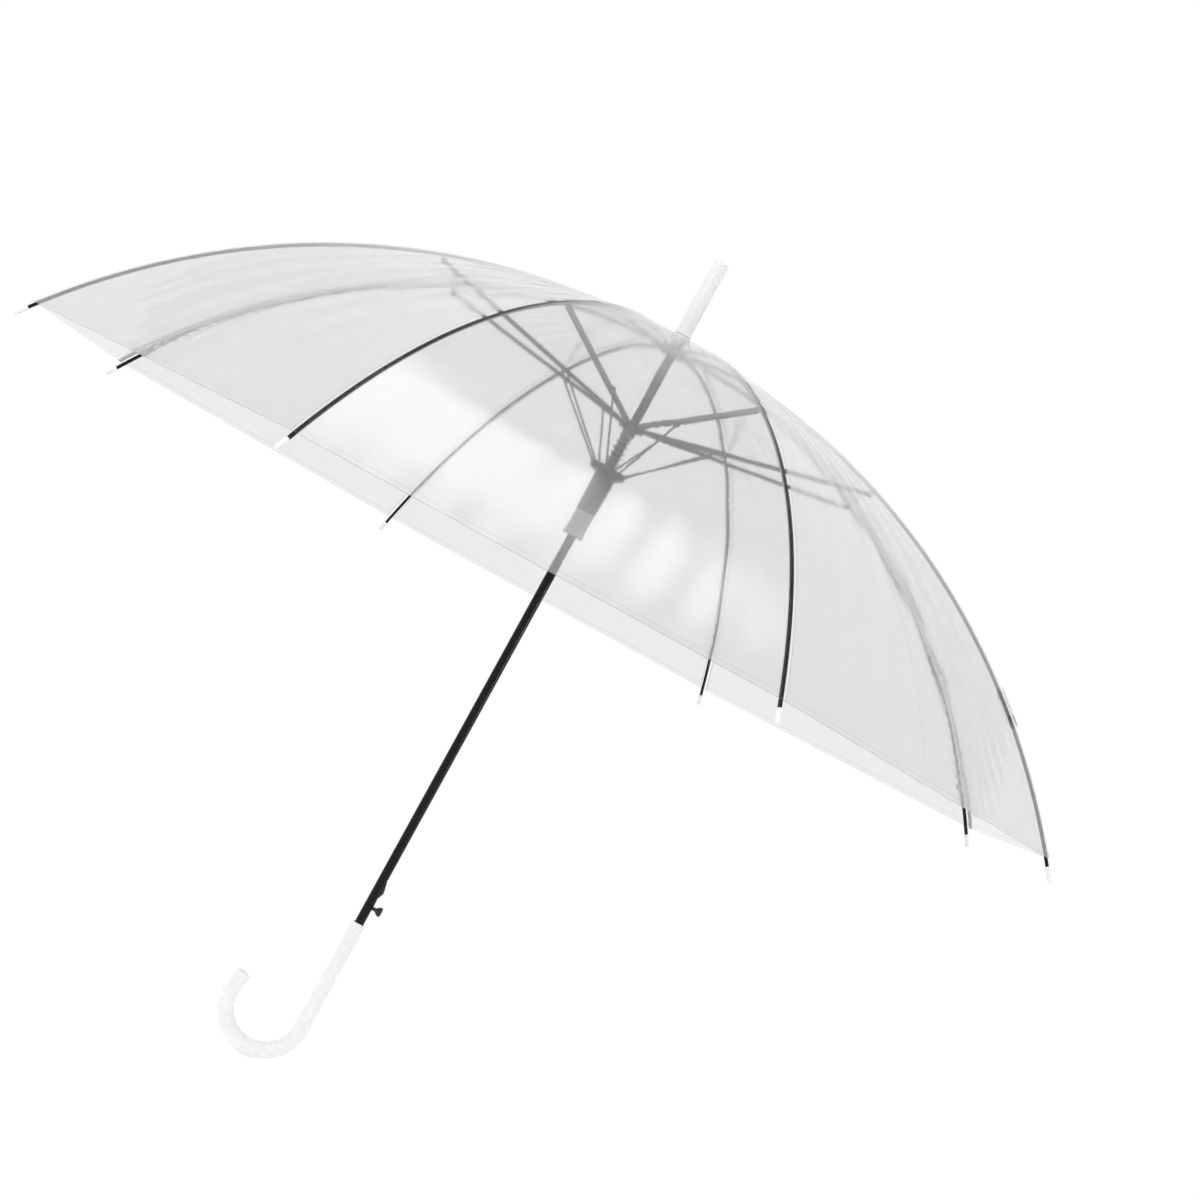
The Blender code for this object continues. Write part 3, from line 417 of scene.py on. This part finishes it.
class Shape:
    """Collects lofts and turned profiles into one mesh."""

    def __init__(self):
        self.vertices = []
        self.faces = []

    def loft(self, rings, closed=False):
        """Skin rings of equally many points; closed joins the last ring to the first."""
        first = len(self.vertices)
        sides = len(rings[0])
        count = len(rings)
        for ring in rings:
            self.vertices += ring
        for k in range(count if closed else count - 1):
            a = first + k * sides
            b = first + (k + 1) % count * sides
            for i in range(sides):
                j = (i + 1) % sides
                self.faces.append((a + i, a + j, b + j, b + i))
        if not closed:
            last = first + (count - 1) * sides
            self.faces.append(tuple(range(first + sides - 1, first - 1, -1)))
            self.faces.append(tuple(range(last, last + sides)))

    def turned(self, profile, sides=48, place=Matrix.Identity(4)):
        """A profile of (radius, height) points, turned about the Z axis of place."""
        turns = [2 * math.pi * k / sides for k in range(sides)]
        rings = []
        for radius, height in profile:
            ring = [Vector((radius * math.cos(t), radius * math.sin(t), height)) for t in turns]
            rings.append([place @ point for point in ring])
        self.loft(rings, closed=profile[0][0] > 0)

    def made(self, name, finish, body, slot, replaces=(), smooth_angle=35):
        """The finished piece, riding on its body."""
        made = mesh_object(name, self.vertices, self.faces, [finish], smooth_angle)
        form = bmesh.new()
        form.from_mesh(made.data)
        bmesh.ops.remove_doubles(form, verts=form.verts, dist=1e-6)
        bmesh.ops.dissolve_degenerate(form, edges=form.edges, dist=1e-7)
        loose = [edge for edge in form.edges if not edge.link_faces]
        bmesh.ops.delete(form, geom=loose, context="EDGES")
        bmesh.ops.recalc_face_normals(form, faces=form.faces)
        form.to_mesh(made.data)
        form.free()
        made.data.shade_smooth()
        made.data.set_sharp_from_angle(angle=math.radians(smooth_angle))
        if body:
            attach(made, body)
        if replaces:
            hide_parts(*replaces)
        return made


def soft(profile, radius, count=4):
    """A profile with its corners rounded; points on the axis stay as they are."""
    points = [Vector(point) for point in profile]
    rounded = []
    for i, corner in enumerate(points):
        before = points[i - 1]
        after = points[(i + 1) % len(points)]
        if corner.x == 0:
            rounded.append(corner)
            continue
        reach = min(radius, 0.45 * (before - corner).length, 0.45 * (after - corner).length)
        first = corner + (before - corner).normalized() * reach
        last = corner + (after - corner).normalized() * reach
        for share in steps(0, 1, count):
            rounded.append(first.lerp(corner, share).lerp(corner.lerp(last, share), share))
    return rounded


def pointing(place, direction):
    """A frame at a place whose Z axis points along a direction."""
    return Matrix.Translation(place) @ direction.to_track_quat("Z", "Y").to_matrix().to_4x4()


# ---------------------------------------------------------------- shaft furniture

FIT_GAP = 0.3 * MM
shaft_low, shaft_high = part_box("shaft")
BORE_RADIUS = shaft_high.x + FIT_GAP
SHAFT_TOP = shaft_high.z
SHAFT_BOTTOM = shaft_low.z

HANDLE_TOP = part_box("handle")[1].z
HANDLE_BEND_RADIUS = 7.2 * MM
HANDLE_END_RADIUS = 6.3 * MM
HANDLE_TOP_RADIUS = BORE_RADIUS + 1.6 * MM
HOOK_RADIUS = 33.0 * MM
HOOK_SWEEP = math.radians(187.0)
HOOK_LEG = 16.0 * MM
GRIP_SWELL = 0.6            # share of the swelling that is reached where the hook starts
HANDLE_EDGE = 0.6 * MM


def handle_ring(centre, outward, radius, sides=40):
    """A ring about the handle's middle line, in the plane of outward and Y."""
    turns = [2 * math.pi * k / sides for k in range(sides)]
    side = Vector((0, 1, 0))
    return [centre + radius * (outward * math.cos(t) + side * math.sin(t)) for t in turns]


def handle():
    """Moulded J with a bore for the shaft, a rounded lip and a rounded end."""
    flat = Vector((1, 0, 0))
    lip = [
        (BORE_RADIUS, SHAFT_BOTTOM - FIT_GAP),
        (BORE_RADIUS, HANDLE_TOP - 0.4 * MM),
        (BORE_RADIUS + 0.4 * MM, HANDLE_TOP),
        (HANDLE_TOP_RADIUS - HANDLE_EDGE, HANDLE_TOP),
        (HANDLE_TOP_RADIUS - 0.3 * HANDLE_EDGE, HANDLE_TOP - 0.3 * HANDLE_EDGE),
        (HANDLE_TOP_RADIUS, HANDLE_TOP - HANDLE_EDGE),
    ]
    rings = [handle_ring(Vector((0, 0, height)), flat, radius) for radius, height in lip]
    centre = Vector((-HOOK_RADIUS, 0, HANDLE_BEND_RADIUS + HOOK_RADIUS))
    grip = HANDLE_BEND_RADIUS - HANDLE_TOP_RADIUS
    for share in steps(0, 1, 20)[1:]:
        height = HANDLE_TOP + (centre.z - HANDLE_TOP) * share
        radius = HANDLE_TOP_RADIUS + grip * GRIP_SWELL * share ** 2
        rings.append(handle_ring(Vector((0, 0, height)), flat, radius))
    hook_start = HANDLE_TOP_RADIUS + grip * GRIP_SWELL
    for turn in steps(0, HOOK_SWEEP, 72)[1:]:
        outward = Vector((math.cos(turn), 0, -math.sin(turn)))
        radius = hook_start + (HANDLE_BEND_RADIUS - hook_start) * math.sin(min(turn, math.pi / 2))
        past = max(0.0, (turn - math.pi / 2) / (HOOK_SWEEP - math.pi / 2))
        radius += (HANDLE_END_RADIUS - HANDLE_BEND_RADIUS) * past
        rings.append(handle_ring(centre + HOOK_RADIUS * outward, outward, radius))
    leg = Vector((-math.sin(HOOK_SWEEP), 0, -math.cos(HOOK_SWEEP)))
    leg_start = centre + HOOK_RADIUS * outward
    for angle in steps(0, math.radians(88), 10):
        reach = HOOK_LEG - 0.5 * HANDLE_END_RADIUS * (1 - math.sin(angle))
        radius = HANDLE_END_RADIUS * (0.35 + 0.65 * math.cos(angle))
        rings.append(handle_ring(leg_start + leg * reach, outward, radius))
    shape = Shape()
    shape.loft(rings)
    shape.made("hooked_handle", WHITE_PLASTIC, "frame", "handle", ["handle"], 60)


def ferrule():
    """Tapered white end with a flat top and a small step at its root."""
    low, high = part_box("ferrule")
    base = high.x
    top = base - 0.7 * MM
    profile = [
        (0, high.z),
        (0, SHAFT_TOP + FIT_GAP),
        (BORE_RADIUS, SHAFT_TOP + FIT_GAP),
        (BORE_RADIUS, low.z),
        (base, low.z),
        (base - 0.05 * MM, low.z + 3.0 * MM),
        (base - 0.45 * MM, low.z + 4.0 * MM),
        (top, high.z),
    ]
    shape = Shape()
    shape.turned(soft(profile, 0.8 * MM))
    shape.made("ferrule_end", WHITE_PLASTIC, "frame", "ferrule", ["ferrule"])


def cap():
    """White cap over the middle of the film, on a thin black washer."""
    low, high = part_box("top_cap")
    washer_top = low.z + 1.1 * MM
    edge = high.x
    profile = [
        (BORE_RADIUS, washer_top),
        (edge - 0.2 * MM, washer_top),
        (edge - 0.2 * MM, high.z - 1.4 * MM),
        (edge - 2.4 * MM, high.z),
        (BORE_RADIUS, high.z),
    ]
    shape = Shape()
    shape.turned(soft(profile, 0.9 * MM))
    shape.made("cap_white", WHITE_PLASTIC, "frame", "top_cap", ["top_cap"])
    washer = [
        (BORE_RADIUS, low.z),
        (edge + 0.4 * MM, low.z),
        (edge + 0.4 * MM, washer_top),
        (BORE_RADIUS, washer_top),
    ]
    shape = Shape()
    shape.turned(soft(washer, 0.3 * MM))
    shape.made("cap_washer", BLACK_PLASTIC, "frame", "crown")


BUTTON_FOOT_RADIUS = 2.2 * MM
BUTTON_FOOT_LENGTH = 0.8 * MM
BUTTON_NECK_RADIUS = 1.6 * MM


def button():
    """Round thumb button on its stem, flared behind its face."""
    low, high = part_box("release_button")
    height = (low.z + high.z) / 2
    radius = (high.z - low.z) / 2
    profile = [
        (0, low.x),
        (BUTTON_FOOT_RADIUS, low.x),
        (BUTTON_FOOT_RADIUS, low.x + BUTTON_FOOT_LENGTH),
        (BUTTON_NECK_RADIUS, low.x + BUTTON_FOOT_LENGTH),
        (BUTTON_NECK_RADIUS, high.x - 5.2 * MM),
        (2.7 * MM, high.x - 5.2 * MM),
        (3.0 * MM, high.x - 4.0 * MM),
        (radius, high.x - 2.8 * MM),
        (radius, high.x - 0.9 * MM),
        (radius - 1.2 * MM, high.x - 0.15 * MM),
        (0, high.x),
    ]
    shape = Shape()
    shape.turned(soft(profile, 0.5 * MM), 40, pointing(Vector((0, 0, height)), Vector((1, 0, 0))))
    shape.made("button_knob", BLACK_PLASTIC, "release_button", "button", ["release_button"])


# ---------------------------------------------------------------- runners and spring

SPRING_WIRE_RADIUS = 0.6 * MM
SPRING_TURNS = 20
CLOSED_TURNS = 1.5              # at each end
CLOSED_PITCH = 2.3              # in wire radii
RINGS_PER_TURN = 26
WIRE_SIDES = 8
SLEEVE_RADIUS = 8.3 * MM
GRIP_BOTTOM = 41.0 * MM         # below the top of the lower runner
SLEEVE_END_TOP = 41.5 * MM


def spring():
    """Compression spring with its end turns closed."""
    low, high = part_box("opening_spring")
    radius = high.x - SPRING_WIRE_RADIUS
    bottom = low.z + SPRING_WIRE_RADIUS
    rise = high.z - low.z - 2 * SPRING_WIRE_RADIUS
    closed = CLOSED_TURNS / SPRING_TURNS
    tight = CLOSED_PITCH * SPRING_WIRE_RADIUS * SPRING_TURNS / rise
    rings = []
    for share in steps(0, 1, RINGS_PER_TURN * SPRING_TURNS):
        turn = 2 * math.pi * SPRING_TURNS * share
        at_end = min(share, closed) * tight + max(0.0, share - 1 + closed) * tight
        between = (min(max(share, closed), 1 - closed) - closed) / (1 - 2 * closed)
        height = bottom + rise * (at_end + between * (1 - 2 * closed * tight))
        away = Vector((math.cos(turn), math.sin(turn), 0))
        middle = away * radius + UP * height
        ring = []
        for k in range(WIRE_SIDES):
            angle = 2 * math.pi * k / WIRE_SIDES
            reach = away * math.cos(angle) + UP * math.sin(angle)
            ring.append(middle + SPRING_WIRE_RADIUS * reach)
        rings.append(ring)
    shape = Shape()
    shape.loft(rings)
    made = shape.made("spring_coil", SPRING_STEEL, "lower_runner", "spring", ["opening_spring"], 60)
    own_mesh(made)


def runner_jacket():
    """Wider grip on the upper part of the pull sleeve, with a rounded lower edge."""
    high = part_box("lower_runner")[1]
    sleeve = SLEEVE_RADIUS
    top = high.z - 8.5 * MM
    bottom = high.z - GRIP_BOTTOM
    profile = [
        (sleeve, bottom),
        (sleeve + 0.75 * MM, bottom + 2.0 * MM),
        (sleeve + 0.75 * MM, top),
        (sleeve, top),
    ]
    shape = Shape()
    shape.turned(soft(profile, 0.3 * MM))
    for share in (0.30, 0.62):
        middle = bottom + (top - bottom) * share
        ring = [
            (sleeve + 0.70 * MM, middle - 0.8 * MM),
            (sleeve + 1.1 * MM, middle - 0.5 * MM),
            (sleeve + 1.1 * MM, middle + 0.5 * MM),
            (sleeve + 0.70 * MM, middle + 0.8 * MM),
        ]
        shape.turned(soft(ring, 0.25 * MM))
    shape.made("runner_grip", BLACK_PLASTIC, "lower_runner", "lower_runner")


def runner_end():
    """Paler sleeve end with a lip, over the lower part of the pull sleeve."""
    low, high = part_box("lower_runner")
    sleeve = SLEEVE_RADIUS
    gap = 0.05 * MM
    flare = 0.8 * MM
    top = high.z - SLEEVE_END_TOP
    profile = [
        (sleeve + gap, top),
        (sleeve + gap, low.z + 4.1 * MM),
        (sleeve + flare + gap, low.z + 2.1 * MM),
        (sleeve + flare + gap, low.z),
        (sleeve + flare + 0.5 * MM, low.z),
        (sleeve + flare + 0.5 * MM, low.z + 2.2 * MM),
        (sleeve + 0.55 * MM, low.z + 4.6 * MM),
        (sleeve + 0.45 * MM, top),
    ]
    shape = Shape()
    shape.turned(soft(profile, 0.2 * MM, 2))
    shape.made("runner_sleeve_end", RUNNER_PLASTIC, "lower_runner", "lower_runner")


# ---------------------------------------------------------------- ribs and tips

RIB_END_ANGLE = RIM_ANGLE + 6.0 * MM / RIB_ARC_RADIUS
RIB_START_ANGLE = math.asin((CROWN_PIVOT.x + 1.3 * MM) / RIB_ARC_RADIUS)
RIB_GROOVE_HALF = 0.55 * MM
RIB_ROOF = 1.0 * MM
RIB_EDGE = 0.35 * MM
EYE_RADIUS = 1.8 * MM
EYE_HOLE_RADIUS = 0.95 * MM
EYE_HALF_WIDTH = 1.05 * MM
LUG_PIN = out_and_up(joints["stretcher_1_pin"]["pos_m"])
LUG_ANGLE = math.atan2(LUG_PIN.x, LUG_PIN.y - DOME_CENTRE)
LUG_HALF_WIDTH = 1.3 * MM
LUG_ROOT_SPREAD = 1.9           # how much wider the lug is where it leaves the rib
PIN_RADIUS = 0.5 * MM
PIN_HALF_LENGTH = 2.6 * MM
TIP_LENGTH = 12.5 * MM
TIP_RADIUS = 2.1 * MM
STEM_RADIUS = 0.9 * MM          # of the rib's end, inside its tip
STEM_START = -3.0 * MM
STEM_END = 7.5 * MM
BEND_REACH = 7.0 * MM           # each side of a bend; the rib keeps its arc there
BEND_TURN = BEND_REACH / RIB_ARC_RADIUS
JOIN_ANGLE = (FIRST_BEND_ANGLE + SECOND_BEND_ANGLE) / 2
BAR_RINGS = 60
HALF_TANGENT_STEP = 0.002


def rib_line(angle):
    """Middle of the rib: the dome's arc, dropping to the crown's pivot at its inner end."""
    point = Vector((math.sin(angle), math.cos(angle))) * RIB_ARC_RADIUS + Vector((0, DOME_CENTRE))
    start = math.asin(CROWN_PIVOT.x / RIB_ARC_RADIUS)
    level = start + 0.5 * (LUG_ANGLE - start)
    if angle < level:
        drop = RIB_ARC_RADIUS * math.cos(start) + DOME_CENTRE - CROWN_PIVOT.y
        point.y -= drop * ((level - angle) / (level - start)) ** 2
    return point


def in_plane(index, point):
    """A point of a rib's plane, given by its distance from the shaft and its height."""
    return across(rib_angle(index))[0] * point.x + UP * point.y


def channel_rings(index, start, end, count):
    """Rings of the rib's section, a channel that opens downwards."""
    half = RIB_WIDTH / 2
    top = RIB_HEIGHT / 2
    section = [
        (-half, -top),
        (-half, top - RIB_EDGE),
        (-half + RIB_EDGE, top),
        (half - RIB_EDGE, top),
        (half, top - RIB_EDGE),
        (half, -top),
        (RIB_GROOVE_HALF, -top),
        (RIB_GROOVE_HALF, top - RIB_ROOF),
        (-RIB_GROOVE_HALF, top - RIB_ROOF),
        (-RIB_GROOVE_HALF, -top),
    ]
    side = across(rib_angle(index))[1]
    rings = []
    for angle in steps(start, end, count):
        here = rib_line(angle)
        ahead = rib_line(angle + HALF_TANGENT_STEP)
        along = (ahead - rib_line(angle - HALF_TANGENT_STEP)).normalized()
        outward = in_plane(index, Vector((-along.y, along.x)))
        middle = in_plane(index, here)
        rings.append([middle + side * u + outward * v for u, v in section])
    return rings


def upper_rib(index):
    """Rib from its eye at the crown to the middle of its second length."""
    shape = Shape()
    shape.loft(channel_rings(index, RIB_START_ANGLE, JOIN_ANGLE, BAR_RINGS))
    side = across(rib_angle(index))[1]
    eye = [
        (EYE_HOLE_RADIUS, -EYE_HALF_WIDTH),
        (EYE_RADIUS, -EYE_HALF_WIDTH),
        (EYE_RADIUS, EYE_HALF_WIDTH),
        (EYE_HOLE_RADIUS, EYE_HALF_WIDTH),
    ]
    shape.turned(soft(eye, 0.2 * MM, 2), 24, pointing(in_plane(index, CROWN_PIVOT), side))
    pin_place = in_plane(index, LUG_PIN)
    pin = [
        (0, -PIN_HALF_LENGTH),
        (PIN_RADIUS, -PIN_HALF_LENGTH),
        (PIN_RADIUS, PIN_HALF_LENGTH),
        (0, PIN_HALF_LENGTH),
    ]
    shape.turned(soft(pin, 0.2 * MM, 2), 16, pointing(pin_place, side))
    root = in_plane(index, rib_line(LUG_ANGLE))
    down = (pin_place - root).normalized()
    along = side.cross(down)
    spread = along * LUG_HALF_WIDTH * LUG_ROOT_SPREAD
    outline = [root + spread, root - spread]
    for turn in steps(-math.pi / 2, math.pi / 2, 12):
        outline.append(pin_place + LUG_HALF_WIDTH * (along * math.sin(turn) + down * math.cos(turn)))
    faces = (-EYE_HALF_WIDTH, EYE_HALF_WIDTH)
    shape.loft([[point + side * offset for point in outline] for offset in faces])
    nodes = [f"rib_{index}_inner", f"rib_{index}_middle"]
    made = shape.made(f"rib_{index}_upper_bar", BLACK_PAINT, None, "ribs", nodes)
    in_plane(index, rib_line(FIRST_BEND_ANGLE - BEND_TURN))
    in_plane(index, rib_line(FIRST_BEND_ANGLE + BEND_TURN))
    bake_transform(made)


def lower_rib(index):
    """Rib from the middle of its second length to its stem inside the tip."""
    shape = Shape()
    end = RIB_END_ANGLE - 0.5 * MM / RIB_ARC_RADIUS
    shape.loft(channel_rings(index, JOIN_ANGLE, end, BAR_RINGS))
    stem = [(0, STEM_START), (STEM_RADIUS, STEM_START), (STEM_RADIUS, STEM_END), (0, STEM_END)]
    shape.turned(soft(stem, 0.2 * MM, 2), 16, tip_frame(index))
    made = shape.made(f"rib_{index}_lower_bar", BLACK_PAINT, None, "ribs", [f"rib_{index}_outer"])
    in_plane(index, rib_line(SECOND_BEND_ANGLE - BEND_TURN))
    in_plane(index, rib_line(SECOND_BEND_ANGLE + BEND_TURN))
    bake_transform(made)


def tip_frame(index):
    """Frame at the rib's end, with Z along the tip."""
    direction = Vector((math.cos(RIB_END_ANGLE), -math.sin(RIB_END_ANGLE)))
    place = rib_line(RIB_END_ANGLE) - direction * 0.2 * MM
    return pointing(in_plane(index, place), in_plane(index, direction))


def tip(index):
    """White plastic tip with a rounded end and a collar where the rib enters it."""
    bore = 1.3 * MM
    depth = 8.0 * MM
    profile = [
        (bore, 0),
        (0.80 * TIP_RADIUS, 0),
        (TIP_RADIUS, 0.9 * MM),
        (TIP_RADIUS, 2.4 * MM),
        (0.86 * TIP_RADIUS, 3.0 * MM),
        (0.90 * TIP_RADIUS, TIP_LENGTH - 3.4 * MM),
        (TIP_RADIUS, TIP_LENGTH - 2.6 * MM),
        (TIP_RADIUS, TIP_LENGTH - 1.4 * MM),
        (0.62 * TIP_RADIUS, TIP_LENGTH - 0.2 * MM),
        (0, TIP_LENGTH),
        (0, depth),
        (bore, depth),
    ]
    shape = Shape()
    shape.turned(soft(profile, 0.5 * MM, 3), 28, tip_frame(index))
    shape.made(f"tip_{index}", WHITE_PLASTIC, f"rib_{index}_outer", "tips", [f"rib_{index}_tip"])


# ---------------------------------------------------------------- strap

STRAP_RIB = 8
STRAP_LENGTH = 34.0 * MM
STRAP_WIDTH = 14.0 * MM
STRAP_THICKNESS = 0.5 * MM
STRAP_ANGLE = RIM_ANGLE * 0.78
STRAP_LIFT = 1.0 * MM
SNAP_RADIUS = 4.6 * MM
SNAP_LIFT = 0.15 * MM


def strap_rim(offset):
    """Outline of the strap's band with round ends, bent to the dome."""
    away, left = across(rib_angle(STRAP_RIB))
    round_end = STRAP_WIDTH / 2
    half = STRAP_LENGTH / 2 - round_end
    radius = DOME_RADIUS + STRAP_LIFT + offset
    rim = []
    for middle, turn in ((half, -math.pi / 2), (-half, math.pi / 2)):
        for around in steps(turn, turn + math.pi, 16):
            angle = STRAP_ANGLE + (middle + round_end * math.cos(around)) / DOME_RADIUS
            height = DOME_CENTRE + radius * math.cos(angle)
            side = round_end * math.sin(around)
            rim.append(away * radius * math.sin(angle) + UP * height + left * side)
    return rim


def strap():
    """Short clear strap lying on the film along its rib, with a round snap."""
    shape = Shape()
    shape.loft([strap_rim(0), strap_rim(STRAP_THICKNESS)])
    made = shape.made("strap_band", FILM_BEAD, f"rib_{STRAP_RIB}_outer", "strap", ["tie_strap"], 30)
    away = across(rib_angle(STRAP_RIB))[0]
    angle = STRAP_ANGLE + (STRAP_LENGTH - STRAP_WIDTH) / 2 / DOME_RADIUS
    outward = away * math.sin(angle) + UP * math.cos(angle)
    place = outward * (DOME_RADIUS + STRAP_LIFT + STRAP_THICKNESS) + UP * DOME_CENTRE
    profile = [
        (0, SNAP_LIFT),
        (SNAP_RADIUS, SNAP_LIFT),
        (SNAP_RADIUS, 0.7 * MM),
        (SNAP_RADIUS - 1.0 * MM, 1.1 * MM),
        (SNAP_RADIUS - 2.2 * MM, 0.8 * MM),
        (0, 0.7 * MM),
    ]
    snap = Shape()
    snap.turned(soft(profile, 0.3 * MM, 3), 40, pointing(place, outward))
    snap.made("strap_snap", WHITE_PLASTIC, f"rib_{STRAP_RIB}_outer", "strap")


handle()
ferrule()
cap()
button()
spring()
runner_jacket()
runner_end()
for rib in range(1, RIB_COUNT + 1):
    upper_rib(rib)
    lower_rib(rib)
    tip(rib)
strap()

# ---------------------------------------------------------------- finishes of the CAD pieces

CAD_FINISHES = {
    "shaft": BLACK_PAINT,
    "crown": BLACK_PLASTIC,
    "upper_runner": BLACK_PLASTIC,
    "lower_runner": BLACK_PLASTIC,
    "runner_catch": BLACK_PLASTIC,
}
for name, node in frame["nodes"].items():
    steel = name.startswith(("stretcher", "strut"))
    finish = DARK_STEEL if steel else CAD_FINISHES.get(name, BLACK_PLASTIC)
    node.data.materials.clear()
    node.data.materials.append(finish)

# ---------------------------------------------------------------- floor, world, camera


FLOOR_HALF = 60.0
FLOOR_FADE = (0.25, 1.2)        # distances over which the floor turns into the surroundings


def floor():
    """Pale floor that fades into the white surroundings away from the umbrella."""
    size = FLOOR_HALF
    corners = [(-size, -size, 0), (size, -size, 0), (size, size, 0), (-size, size, 0)]
    made, nodes, links = new_material("floor_white")
    shader = nodes["Principled BSDF"]
    shader.inputs["Base Color"].default_value = (0.82, 0.82, 0.82, 1)
    shader.inputs["Roughness"].default_value = 0.9
    shader.inputs["Emission Color"].default_value = (1, 1, 1, 1)
    shader.inputs["Emission Strength"].default_value = 0.3
    glow = nodes.new("ShaderNodeEmission")
    place = nodes.new("ShaderNodeTexCoord")
    far = nodes.new("ShaderNodeVectorMath")
    far.operation = "LENGTH"
    links.new(place.outputs["Object"], far.inputs[0])
    fade = ranged(nodes, links, far.outputs["Value"], (0.0, 1.0), FLOOR_FADE, smooth=True)
    mix = nodes.new("ShaderNodeMixShader")
    links.new(fade, mix.inputs["Fac"])
    links.new(shader.outputs["BSDF"], mix.inputs[1])
    links.new(glow.outputs["Emission"], mix.inputs[2])
    links.new(mix.outputs["Shader"], nodes["Material Output"].inputs["Surface"])
    plane = mesh_object("floor", corners, [(0, 1, 2, 3)], [made])
    plane.location = (0, 0, cad_low.z - 1.0 * MM)


SKY_FADE = (0.35, 0.95)         # heights of the view between which the sky turns greyer
SKY_OVERHEAD = 0.80

# Direction, angles in degrees inside and outside the soft edge, and added brightness.
SOFT_PANELS = [
    ((-0.17, -0.10, 0.98), 2.0, 17.0, 2.9),
    ((0.75, -0.35, 0.55), 3.0, 12.0, 1.2),
    ((0.97, -0.24, 0.0), 2.0, 5.5, 22.0),
]


def sky():
    """White at eye level, greyer overhead, with soft bright panels for the film to reflect."""
    world = bpy.data.worlds.new("studio")
    bpy.context.scene.world = world
    world.use_nodes = True
    nodes = world.node_tree.nodes
    links = world.node_tree.links
    place = nodes.new("ShaderNodeTexCoord")
    split = nodes.new("ShaderNodeSeparateXYZ")
    links.new(place.outputs["Generated"], split.inputs["Vector"])
    total = ranged(nodes, links, split.outputs["Z"], (1.0, SKY_OVERHEAD), SKY_FADE, smooth=True)
    for direction, inner, outer, strength in SOFT_PANELS:
        toward = nodes.new("ShaderNodeVectorMath")
        toward.operation = "DOT_PRODUCT"
        links.new(place.outputs["Generated"], toward.inputs[0])
        toward.inputs[1].default_value = Vector(direction).normalized()
        edge = (math.cos(math.radians(outer)), math.cos(math.radians(inner)))
        spot = ranged(nodes, links, toward.outputs["Value"], (0.0, strength), edge, smooth=True)
        add = nodes.new("ShaderNodeMath")
        links.new(total, add.inputs[0])
        links.new(spot, add.inputs[1])
        total = add.outputs["Value"]
    nodes["Background"].inputs["Color"].default_value = (1, 1, 1, 1)
    links.new(total, nodes["Background"].inputs["Strength"])


RIM_CENTRE = Vector((0, 0, RIM_HEIGHT))
CAMERA_DISTANCE = 2.003
CAMERA_LENS = 72.08
CAMERA_ROLL = math.radians(28.82)
CAMERA_TURN = math.radians(1.325)
LOOK_UP = math.radians(1.486)
AIM_RIGHT = 0.0236          # the rim's centre is left of and above the middle of the picture
AIM_DOWN = 0.00487


def camera():
    """The camera is a little below the rim and rolled, so that the upright shaft leans."""
    data = bpy.data.cameras.new("camera")
    data.lens = CAMERA_LENS
    data.sensor_width = 36.0
    data.clip_end = 200.0
    made = bpy.data.objects.new("camera", data)
    bpy.context.scene.collection.objects.link(made)
    level = Vector((math.cos(CAMERA_TURN), math.sin(CAMERA_TURN), 0))
    ahead = UP.cross(level)
    toward = ahead * math.cos(LOOK_UP) + UP * math.sin(LOOK_UP)
    right = level * math.cos(CAMERA_ROLL) + UP * math.sin(CAMERA_ROLL)
    forward = (toward + right * AIM_RIGHT - right.cross(toward) * AIM_DOWN).normalized()
    right = (right - forward * right.dot(forward)).normalized()
    above = right.cross(forward)
    turn = Matrix((right, above, -forward)).transposed().to_4x4()
    made.matrix_world = Matrix.Translation(RIM_CENTRE - toward * CAMERA_DISTANCE) @ turn
    bpy.context.scene.camera = made


def soft_light(name, place, size, power):
    """A square lamp aimed at the umbrella."""
    data = bpy.data.lights.new(name, "AREA")
    data.size = size
    data.energy = power
    made = bpy.data.objects.new(name, data)
    bpy.context.scene.collection.objects.link(made)
    made.location = place
    made.rotation_euler = (Vector((0, 0, 0.4)) - Vector(place)).to_track_quat("-Z", "Y").to_euler()


floor()
sky()
camera()
soft_light("key", (-1.6, -1.8, 2.2), 1.2, 18.0)

scene = bpy.context.scene
scene.view_settings.view_transform = "Standard"
scene.cycles.max_bounces = 40
scene.cycles.transmission_bounces = 40
scene.cycles.transparent_max_bounces = 40
